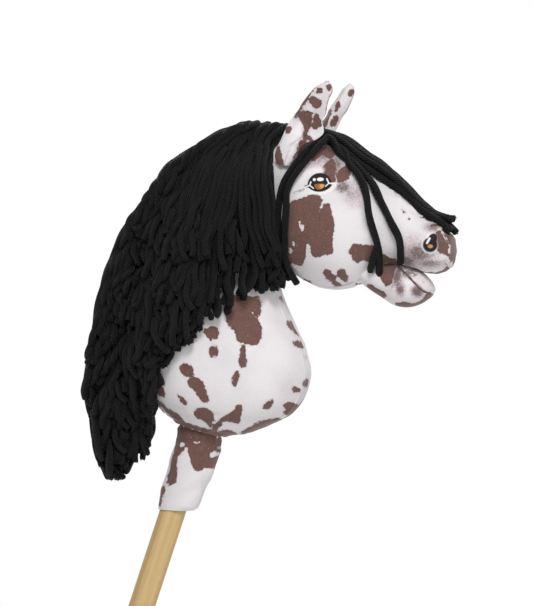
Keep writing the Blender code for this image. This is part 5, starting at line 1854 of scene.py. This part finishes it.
# The forelock's outline from its ends back up to the poll, in (x, z).
FORELOCK_OUTLINE = [
    (278, 289), (266, 290), (257, 294), (249, 302), (240, 310), (231, 320), (224, 327), (213, 336),
    (202, 345), (191, 351), (180, 361), (171, 367), (161, 370), (149, 373), (135, 376),
]
# Between these heights the mane falls back from lying this far out to hanging this far out.
MANE_TAIL_FALL = (85.0, 112.0)
MANE_ROOT_Y = 23.5
MANE_TAIL_Y = 8.0
# How high the root loops stand at each row of the crest.
MANE_RIDGE = {8: 5, 9: 9, 10: 14, 11: 19, 12: 23, 13: 24, 14: 23, 15: 22, 16: 18, 17: 13, 18: 9, 19: 6}
# A root loop from the far side to the near one: (y, share of its height, share of its lean).
ROOT_LOOP = [
    (15, 0.05, 0), (11, 0.55, 0.3), (2, 0.95, 0.7), (-11, 0.85, 1), (-20, 0.45, 1.1), (-25, 0.1, 1.2),
]
FIRST_ROOT_ROW = 8.2
ROOTS_SEED = 5
# The mane's layers, the room from a strand's middle to the cloth, the distance from layer to layer,
# and how far out any strand may lie.
TOP_LAYER = 3
YARN_ROOM = 3.6
LAYER_STEP = 5.4
FARTHEST_OUT = 81.2
# The strands that come from between the ears, cross the near ear's front edge and fall in front of
# the mane, in (x, z).
CHEEK_STRANDS = [
    [
        (157, 364), (146, 350), (136, 337), (128, 326), (123, 313), (122, 295), (121, 283), (120, 265),
        (118, 249), (121, 234), (127, 222),
    ],
    [
        (151, 363), (140, 350), (130, 335), (121, 320), (116, 309), (115, 295), (114, 283), (113, 265),
        (112, 249), (115, 234), (117, 221),
    ],
]
# The forelock over the forehead: x of its points, and how wide it spreads at each.
FORELOCK_TOP = [130, 145, 160, 176, 194, 212, 230, 246]
FORELOCK_SPREAD = [0.35, 0.6, 0.85, 1.0, 1.0, 0.8, 0.55, 0.35]
# Each strand over the forehead: the node it belongs to, how far from the middle it lies, its layer,
# and which end it has.
FORELOCK_STRANDS = [
    ("forelock_lock_near", -25, 0, 1),
    ("forelock_lock_near", -19, 0, 1),
    ("forelock_lock_near", -13, 0, 0),
    ("forelock_lock_near", -22, 1, 1),
    ("forelock_lock_near", -15, 1, 0),
    ("forelock_lock_middle", -7, 0, 1),
    ("forelock_lock_middle", -1, 0, 0),
    ("forelock_lock_middle", -8, 1, 0),
    ("forelock_lock_middle", 5, 0, 1),
    ("forelock_lock_middle", -1, 1, 1),
    ("forelock_lock_far", 11, 0, 2),
    ("forelock_lock_far", 17, 0, 2),
    ("forelock_lock_far", 6, 1, 1),
    ("forelock_lock_far", 23, 0, 2),
    ("forelock_lock_far", 13, 1, 2),
]
FORELOCK_ENDS = [
    [(257, 289), (265, 286), (274, 286.5)],
    [(258, 286), (266, 280), (273, 271)],
    [(256, 285), (264, 276)],
]
FACE_STRANDS = {
    "forelock_strand_a": [(193, 323), (199, 309), (202, 289), (208, 268), (210, 252), (208, 227)],
    "forelock_strand_b": [(203, 320), (214, 299), (223, 280), (229, 270), (231, 262), (229, 242)],
}
# A loose end that leaves the first of those strands low down.
FACE_STRAND_END = [(209, 258), (206, 250), (203, 242), (199.5, 234)]
# Where the forelock turns from lying on the poll to moving with its own body.
FORELOCK_BEND = ((138.0, 0.0, 372.0), (162.0, 0.0, 368.0))
CLOTH_UNDER_YARN = [
    "cloth_side_panel_near", "cloth_side_panel_far", "cloth_crest_gusset", "cloth_forehead_gusset",
    "cloth_sleeve_near", "cloth_base_panel",
]


# The stage. Lamps point at LAMP_TARGET.
WHITE = (1.0, 1.0, 1.0)
FLOOR_COLOUR = (0.9, 0.9, 0.9)
LAMP_TARGET = (90.0, 0.0, 200.0)
SENSOR_HEIGHT = 36.0


def crest_out(row):
    """A point of the crest and the way out from it, in (x, z)."""
    here, after = smooth_rows(bag_rows(), [row, row + 0.1])[:, 2:4]
    along = (after - here) / np.linalg.norm(after - here)
    return here, np.array([-along[1], along[0]])


def build_roots(yarn):
    """The short loops that stand along the crest, sewn down on both sides of the tape."""
    chance = random.Random(ROOTS_SEED)
    last_row = POLL_SEAM + 0.7
    paths = []
    for i in range(yarn.root_loops):
        share = (i + chance.random()) / yarn.root_loops
        row = FIRST_ROOT_ROW + (last_row - FIRST_ROOT_ROW) * share
        (x, z), (ox, oz) = crest_out(row)
        high = float(np.interp(row, list(MANE_RIDGE), list(MANE_RIDGE.values())))
        high *= chance.uniform(0.6, 1.0)
        lean = chance.uniform(-6, 6)
        reach = chance.uniform(0.7, 1.1)
        path = []
        for y, up, drift in ROOT_LOOP:
            sewn_down = 5 * (y < -15)
            along = x + ox * high * up - oz * lean * drift
            path.append((along, y * reach, z + oz * high * up + ox * lean * drift - sewn_down))
        paths.append(evenly(path, 16))
    drape = Drape(CLOTH_UNDER_YARN)
    room = YARN_ROOM - 0.6
    paths = spread_apart(paths, drape, yarn.strand_room, room, rounds=6, held=-3, outline=MANE_OUTLINE)
    obj = add_yarn("yarn_mane_roots", paths, yarn, ROOTS_SEED)
    hand_over(obj, "root", "yarn", "mane_roots")


def strand_share(family, number, layer, chance):
    """How far down its guide a strand reaches: the layer on top is the shortest."""
    if family == "inner":
        return chance.uniform(0.8, 1.0)
    top = float(np.interp(number, np.arange(len(TOP_REACH)), TOP_REACH))
    return min(1.0, top + (TOP_LAYER - layer) * 0.19 + chance.uniform(-0.07, 0.07))


def lay_bundle(bundle, drape, chance):
    """The strands of one bundle, from its lowest layer to the one on top."""
    family, first, last, count = bundle
    outer = family == "outer"
    guides = OUTER_GUIDES if outer else INNER_GUIDES
    paths = []
    for layer in range(TOP_LAYER + 1 if outer else 2):
        for i in range(count):
            step = i + 0.5 * (layer % 2) + chance.uniform(0.1, 0.4)
            number = first + (last - first) * step / count
            flat = between_guides(guides, min(number, len(guides) - 1.001))
            share = strand_share(family, number, layer, chance)
            flat = at_runs(flat, np.linspace(0, share, 24))
            lift = layer * LAYER_STEP * (1.0 if outer else 0.6)
            level = layer if outer else 0
            paths.append(hang_strand(flat, drape, level, lift, chance, chance.uniform(-6, 0)))
    return paths


def yarn_pieces(paths, owners, yarn, seed):
    """Makes the strands of each owner into one piece, and gives each piece with its owner's name."""
    for number, name in enumerate(dict.fromkeys(owners)):
        own = [path for path, owner in zip(paths, owners) if owner == name]
        obj = add_yarn("yarn_" + name, own, yarn, seed + number)
        hand_over(obj, None, "yarn", name)
        yield name, obj


def build_mane(yarn):
    chance = random.Random(yarn.seed)
    drape = Drape(CLOTH_UNDER_YARN)
    paths = []
    owners = []
    for name, bundles in MANE_PIECES.items():
        for bundle in bundles:
            strands = lay_bundle(bundle, drape, chance)
            paths += strands
            owners += [name] * len(strands)
    for name, first, last, count in MANE_TUFTS:
        for _ in range(count):
            paths.append(curl_out(chance.uniform(first, last), drape, chance))
            owners.append(name)
    paths = spread_apart(paths, drape, yarn.strand_room, YARN_ROOM, outline=MANE_OUTLINE, stray=2.5)
    for name, obj in yarn_pieces(paths, owners, yarn, yarn.seed):
        part = name.split("_")[1]
        start, end = MANE_BENDS[part]
        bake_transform(obj, "root", "mane_" + part, start=tuple(place(start)), end=tuple(place(end)))


def beside(drape, x, z):
    """How far the near side stands out round a point of the face."""
    return drape.side_round(x, z, ((0, 0), (5, 0), (-5, 0), (0, 5), (0, -5)), 20.0)


def build_forelock(yarn):
    chance = random.Random(yarn.seed + 50)
    drape = Drape(CLOTH_UNDER_YARN)
    paths = []
    owners = []
    for name, y, layer, ending in FORELOCK_STRANDS:
        path = []
        for x, spread in zip(FORELOCK_TOP, FORELOCK_SPREAD):
            over = drape.top(x, y * spread) + YARN_ROOM + layer * LAYER_STEP
            path.append((x, y * spread, over))
        path += [(x, y * 0.3, z + layer) for x, z in FORELOCK_ENDS[ending]]
        paths.append(wobbled(evenly(path, 30), chance, 1.2))
        owners.append(name)
    for name, flat in FACE_STRANDS.items():
        path = [(x, y, drape.top(x, y) + YARN_ROOM + 2.0) for x, y in ((140, -8), (160, -22), (178, -32))]
        path += [(x, -beside(drape, x, z) - YARN_ROOM - (2.5 if z > 310 else 0.2), z) for x, z in flat]
        paths.append(wobbled(evenly(path, 30), chance, 0.7))
        owners.append(name)
    paths = spread_apart(paths, drape, yarn.strand_room, YARN_ROOM, rounds=8, outline=FORELOCK_OUTLINE)
    loose = [(x, -beside(drape, x, z) - YARN_ROOM, z) for x, z in FACE_STRAND_END]
    paths.append(evenly(loose, 12))
    owners.append("forelock_strand_a")
    start, end = (tuple(place(point)) for point in FORELOCK_BEND)
    for name, obj in yarn_pieces(paths, owners, yarn, yarn.seed + 60):
        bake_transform(obj, "root", "forelock", start=start, end=end)


def build_cheek_lock(yarn):
    chance = random.Random(yarn.seed + 90)
    drape = Drape(CLOTH_UNDER_YARN)
    paths = []
    for flat in CHEEK_STRANDS:
        path = [(x, -beside(drape, x, z) - YARN_ROOM, z) for x, z in flat]
        paths.append(wobbled(evenly(path, 40), chance, 0.7))
    paths = spread_apart(paths, drape, yarn.strand_room, YARN_ROOM, rounds=8, held=0)
    obj = add_yarn("yarn_cheek_lock", paths, yarn, yarn.seed + 91)
    hand_over(obj, "root", "yarn", "cheek_lock")


def build_stage(stage):
    """The floor, the lamps, the pale surroundings and the camera."""
    bm = bmesh.new()
    bmesh.ops.create_circle(bm, cap_ends=True, segments=96, radius=stage.floor_radius)
    material = bpy.data.materials.new("floor_paper")
    material.use_nodes = True
    floor = Nodes(material.node_tree)
    paper = floor.node("ShaderNodeBsdfDiffuse", {}, {"Color": as_input(FLOOR_COLOUR)})
    glow = floor.node("ShaderNodeEmission", {}, {"Color": as_input(WHITE), "Strength": 0.25})
    both = floor.node("ShaderNodeAddShader", {}, {0: paper.out(), 1: glow.out()})
    values = {0: floor.looked_at(), 1: paper.out(), 2: both.out()}
    mixed = floor.node("ShaderNodeMixShader", {}, values)
    floor.node("ShaderNodeOutputMaterial", {}, {"Surface": mixed.out()})
    add_object("floor", mesh_from("floor", bm), material)
    world = bpy.data.worlds.new("pale_room")
    bpy.context.scene.world = world
    world.use_nodes = True
    room = Nodes(world.node_tree)
    values = {"Color": as_input(WHITE), "Strength": stage.room_light}
    dim = room.node("ShaderNodeBackground", {}, values)
    white = room.node("ShaderNodeBackground", {}, {"Color": as_input(WHITE), "Strength": 1.0})
    mixed = room.node("ShaderNodeMixShader", {}, {0: room.looked_at(), 1: dim.out(), 2: white.out()})
    room.node("ShaderNodeOutputWorld", {}, {"Surface": mixed.out()})
    add_lamps(stage)
    add_camera(stage)
    bpy.context.scene.view_settings.view_transform = "Standard"


def add_lamps(stage):
    target = Vector(place(LAMP_TARGET))
    lamps = (
        ("key_lamp", (0.9, -3.1, 3.5), 1.3, stage.key_light),
        ("fill_lamp", (3.0, -2.2, 1.4), 2.2, stage.fill_light),
        ("back_lamp", (-1.5, 3.0, 2.6), 2.0, stage.back_light),
    )
    for name, at, size, power in lamps:
        data = bpy.data.lights.new(name, "AREA")
        data.shape = "DISK"
        data.size = size
        data.energy = power
        lamp = bpy.data.objects.new(name, data)
        bpy.context.scene.collection.objects.link(lamp)
        lamp.location = at
        lamp.rotation_euler = (target - Vector(at)).to_track_quat("-Z", "Y").to_euler()


def add_camera(stage):
    """A level camera at the photograph's angle, framed on the head and the upper pole."""
    turn = stage.view_turn
    right = Vector((math.cos(turn), math.sin(turn), 0.0))
    toward = Vector((math.sin(turn), -math.cos(turn), 0.0))
    aim = Vector((HEM[0] * MM, 0.0, stage.view_height)) + right * stage.view_shift
    data = bpy.data.cameras.new("camera")
    data.sensor_fit = "VERTICAL"
    data.sensor_height = SENSOR_HEIGHT
    data.lens = SENSOR_HEIGHT * stage.view_distance / stage.frame_height
    camera = bpy.data.objects.new("camera", data)
    bpy.context.scene.collection.objects.link(camera)
    camera.location = aim + toward * stage.view_distance
    camera.rotation_euler = (aim - camera.location).to_track_quat("-Z", "Y").to_euler()
    bpy.context.scene.camera = camera


class ClothSettings(bpy.types.PropertyGroup):
    """Sizes and colours of the sewn cloth and what fills it."""

    thickness: bpy.props.FloatProperty(
        name="Cloth thickness", description="Thickness of the printed cotton",
        default=0.0011, unit="LENGTH",
    )
    seam_width: bpy.props.FloatProperty(
        name="Seam width", description="Half width of the groove at a seam", default=0.0016, unit="LENGTH"
    )
    seam_depth: bpy.props.FloatProperty(
        name="Seam depth", description="How far a seam is drawn in", default=0.0019, unit="LENGTH"
    )
    pucker_height: bpy.props.FloatProperty(
        name="Pucker height", description="Height of the puckers beside a seam",
        default=0.00055, unit="LENGTH",
    )
    pucker_length: bpy.props.FloatProperty(
        name="Pucker length", description="Distance from one pucker to the next",
        default=0.0125, unit="LENGTH",
    )
    pucker_reach: bpy.props.FloatProperty(
        name="Pucker reach", description="How far a pucker runs from its seam",
        default=0.009, unit="LENGTH",
    )
    slack: bpy.props.FloatProperty(
        name="Slack", description="Height of the soft unevenness of the stuffed cloth",
        default=0.0007, unit="LENGTH",
    )
    start_inset: bpy.props.FloatProperty(
        name="Start inset", description="How far in the cloth starts before it is stuffed", default=0.002,
        unit="LENGTH",
    )
    largest_swell: bpy.props.FloatProperty(
        name="Largest swell", description="The most that stuffing moves the cloth",
        default=0.003, unit="LENGTH",
    )
    largest_sink: bpy.props.FloatProperty(
        name="Largest sink", description="The most that the cloth lies inside its pattern",
        default=0.0008,
        unit="LENGTH",
    )
    filling_gap: bpy.props.FloatProperty(
        name="Filling gap", description="Room between the cloth and its filling",
        default=0.0012, unit="LENGTH",
    )
    ear_thickness: bpy.props.FloatProperty(
        name="Ear cloth thickness", description="Thickness of the ears' cloth",
        default=0.0009, unit="LENGTH",
    )
    ear_puff: bpy.props.FloatProperty(
        name="Ear puff", description="Half thickness of a padded ear", default=0.0026, unit="LENGTH"
    )
    pressure: bpy.props.FloatProperty(
        name="Pressure", description="How hard the filling presses", default=3.0
    )
    fullness: bpy.props.FloatProperty(
        name="Fullness", description="Share by which the cloth is cut larger than its place", default=0.02
    )
    settle_frames: bpy.props.IntProperty(
        name="Settling steps", description="Steps that the cloth takes to settle", default=18, min=2
    )
    white_colour: bpy.props.FloatVectorProperty(
        name="Ground colour", description="The cloth between the spots", subtype="COLOR",
        default=linear(227, 223, 225),
    )
    spot_colour: bpy.props.FloatVectorProperty(
        name="Spot colour", description="The printed spots", subtype="COLOR", default=linear(113, 81, 74)
    )
    ink_colour: bpy.props.FloatVectorProperty(
        name="Ink colour", description="The eyes and nostrils", subtype="COLOR",
        default=linear(24, 21, 22),
    )
    # Colour of the airbrushed print, also used for painted shade.
    airbrush_and_shade_colour: bpy.props.FloatVectorProperty(
        name="Airbrush colour", description="The airbrushed shading", subtype="COLOR",
        default=linear(104, 87, 84),
    )


class WoodSettings(bpy.types.PropertyGroup):
    """Sizes and colours of the pole."""

    diameter: bpy.props.FloatProperty(
        name="Diameter", description="Diameter of the pole", default=POLE_DIAMETER * MM, unit="LENGTH"
    )
    free_length: bpy.props.FloatProperty(
        name="Free length", description="Length below the sleeve",
        default=POLE_FREE_LENGTH * MM, unit="LENGTH",
    )
    inserted_length: bpy.props.FloatProperty(
        name="Inserted length", description="Length inside the neck", default=POLE_INSERTED_LENGTH * MM,
        unit="LENGTH",
    )
    edge_round: bpy.props.FloatProperty(
        name="Eased edge", description="Rounding of the pole's ends", default=0.002, unit="LENGTH"
    )
    ring_width: bpy.props.FloatProperty(
        name="Ring width", description="Width of a year's growth", default=0.0030, unit="LENGTH"
    )
    pale_colour: bpy.props.FloatVectorProperty(
        name="Early wood", description="The pale wood", subtype="COLOR", default=linear(216, 187, 134)
    )
    late_colour: bpy.props.FloatVectorProperty(
        name="Late wood", description="The darker growth lines", subtype="COLOR",
        default=linear(188, 152, 100),
    )


class YarnSettings(bpy.types.PropertyGroup):
    """Sizes and colour of the yarn."""

    radius: bpy.props.FloatProperty(
        name="Radius", description="Radius of a strand", default=0.0035, unit="LENGTH"
    )
    lobe_depth: bpy.props.FloatProperty(
        name="Lobe depth", description="How far a strand is from round, as a share", default=0.09
    )
    lobe_lay: bpy.props.FloatProperty(
        name="Lobe lay", description="Length in which the strand's lobes turn once", default=0.042,
        unit="LENGTH",
    )
    strand_room: bpy.props.FloatProperty(
        name="Strand room", description="Distance that strands keep from each other", default=0.0065,
        unit="LENGTH",
    )
    point_spacing: bpy.props.FloatProperty(
        name="Point spacing", description="Distance between a strand's rings",
        default=0.0028, unit="LENGTH",
    )
    sides: bpy.props.IntProperty(name="Sides", description="Sides round a strand", default=12, min=6)
    fine_plies: bpy.props.IntProperty(
        name="Fine plies", description="Plies that show round a strand", default=7, min=3
    )
    ply_pitch: bpy.props.FloatProperty(
        name="Ply pitch", description="Distance from one ply to the next along a strand", default=0.0034,
        unit="LENGTH",
    )
    end_plies: bpy.props.IntProperty(
        name="Loose plies", description="Plies that stick out where a strand is cut", default=3, min=0
    )
    root_loops: bpy.props.IntProperty(
        name="Root loops", description="Loops that stand along the crest", default=66, min=10
    )
    seed: bpy.props.IntProperty(
        name="Seed", description="Which of the chance arrangements is made", default=4
    )
    colour: bpy.props.FloatVectorProperty(
        name="Colour", description="The yarn's black", subtype="COLOR", default=linear(9, 9, 10)
    )


class StageSettings(bpy.types.PropertyGroup):
    """The floor, the lamps and the camera."""

    view_turn: bpy.props.FloatProperty(
        name="View turn", description="How far the camera stands in front of square on",
        default=math.radians(10), subtype="ANGLE",
    )
    view_distance: bpy.props.FloatProperty(
        name="View distance", description="From the camera to the horse", default=14.0, unit="LENGTH"
    )
    frame_height: bpy.props.FloatProperty(
        name="Frame height", description="Height that the picture takes in", default=0.5878, unit="LENGTH"
    )
    view_shift: bpy.props.FloatProperty(
        name="View shift", description="How far right of the pole the camera aims", default=0.0914,
        unit="LENGTH",
    )
    view_height: bpy.props.FloatProperty(
        name="View height", description="Height of the camera", default=0.737, unit="LENGTH"
    )
    floor_radius: bpy.props.FloatProperty(
        name="Floor radius", description="Radius of the floor", default=8.0, unit="LENGTH"
    )
    key_light: bpy.props.FloatProperty(name="Key light", description="Power in watts", default=96.0)
    fill_light: bpy.props.FloatProperty(name="Fill light", description="Power in watts", default=28.0)
    back_light: bpy.props.FloatProperty(name="Back light", description="Power in watts", default=30.0)
    room_light: bpy.props.FloatProperty(
        name="Room light", description="Light from all round", default=0.34
    )


class HOBBYHORSE_OT_stage(bpy.types.Operator):
    """Sets up the floor, the lamps and the camera"""

    bl_idname = "hobbyhorse.stage"
    bl_label = "Stage and camera"

    def execute(self, context):
        build_stage(context.scene.hobby_stage)
        return {"FINISHED"}


class HOBBYHORSE_OT_bag(bpy.types.Operator):
    """Sews and stuffs the head, the neck and the sleeve"""

    bl_idname = "hobbyhorse.bag"
    bl_label = "Head, neck and sleeve"

    def execute(self, context):
        build_bag(in_mm(context.scene.hobby_cloth))
        return {"FINISHED"}


class HOBBYHORSE_OT_jaw(bpy.types.Operator):
    """Sews and stuffs the lower jaw"""

    bl_idname = "hobbyhorse.jaw"
    bl_label = "Lower jaw"

    def execute(self, context):
        build_jaw(in_mm(context.scene.hobby_cloth))
        return {"FINISHED"}


class HOBBYHORSE_OT_ears(bpy.types.Operator):
    """Sews and pads the two ears"""

    bl_idname = "hobbyhorse.ears"
    bl_label = "Ears"

    def execute(self, context):
        build_ears(in_mm(context.scene.hobby_cloth))
        return {"FINISHED"}


class HOBBYHORSE_OT_pole(bpy.types.Operator):
    """Makes the wooden pole, and finishes the pad and the tapes"""

    bl_idname = "hobbyhorse.pole"
    bl_label = "Pole, pad and tapes"

    def execute(self, context):
        build_pole(in_mm(context.scene.hobby_wood))
        finish_hidden_nodes()
        return {"FINISHED"}


class HOBBYHORSE_OT_mane(bpy.types.Operator):
    """Hangs the mane and its roots on the crest"""

    bl_idname = "hobbyhorse.mane"
    bl_label = "Mane"

    def execute(self, context):
        yarn = in_mm(context.scene.hobby_yarn)
        build_roots(yarn)
        build_mane(yarn)
        build_cheek_lock(yarn)
        return {"FINISHED"}


class HOBBYHORSE_OT_forelock(bpy.types.Operator):
    """Lays the forelock over the forehead"""

    bl_idname = "hobbyhorse.forelock"
    bl_label = "Forelock"

    def execute(self, context):
        build_forelock(in_mm(context.scene.hobby_yarn))
        return {"FINISHED"}


OPERATORS = [
    HOBBYHORSE_OT_stage,
    HOBBYHORSE_OT_bag,
    HOBBYHORSE_OT_jaw,
    HOBBYHORSE_OT_ears,
    HOBBYHORSE_OT_pole,
    HOBBYHORSE_OT_mane,
    HOBBYHORSE_OT_forelock,
]
SETTINGS = {
    "hobby_cloth": ClothSettings,
    "hobby_wood": WoodSettings,
    "hobby_yarn": YarnSettings,
    "hobby_stage": StageSettings,
}


class HOBBYHORSE_PT_panel(bpy.types.Panel):
    """Lists the pieces and their settings in the sidebar"""

    bl_idname = "HOBBYHORSE_PT_panel"
    bl_label = "Hobby horse"
    bl_space_type = "VIEW_3D"
    bl_region_type = "UI"
    bl_category = "Hobby horse"

    def draw(self, context):
        for operator in OPERATORS:
            self.layout.operator(operator.bl_idname)
        for key, group in SETTINGS.items():
            box = self.layout.box()
            box.label(text=group.__doc__)
            for name in group.__annotations__:
                box.prop(getattr(context.scene, key), name)


def register():
    for kind in [*SETTINGS.values(), *OPERATORS, HOBBYHORSE_PT_panel]:
        bpy.utils.register_class(kind)
    for key, group in SETTINGS.items():
        setattr(bpy.types.Scene, key, bpy.props.PointerProperty(type=group))


def unregister():
    for key in SETTINGS:
        delattr(bpy.types.Scene, key)
    for kind in reversed([*SETTINGS.values(), *OPERATORS, HOBBYHORSE_PT_panel]):
        bpy.utils.unregister_class(kind)


def main():
    register()
    bpy.ops.hobbyhorse.stage()
    bpy.ops.hobbyhorse.bag()
    bpy.ops.hobbyhorse.jaw()
    bpy.ops.hobbyhorse.ears()
    bpy.ops.hobbyhorse.pole()
    bpy.ops.hobbyhorse.mane()
    bpy.ops.hobbyhorse.forelock()


if __name__ == "__main__":
    main()
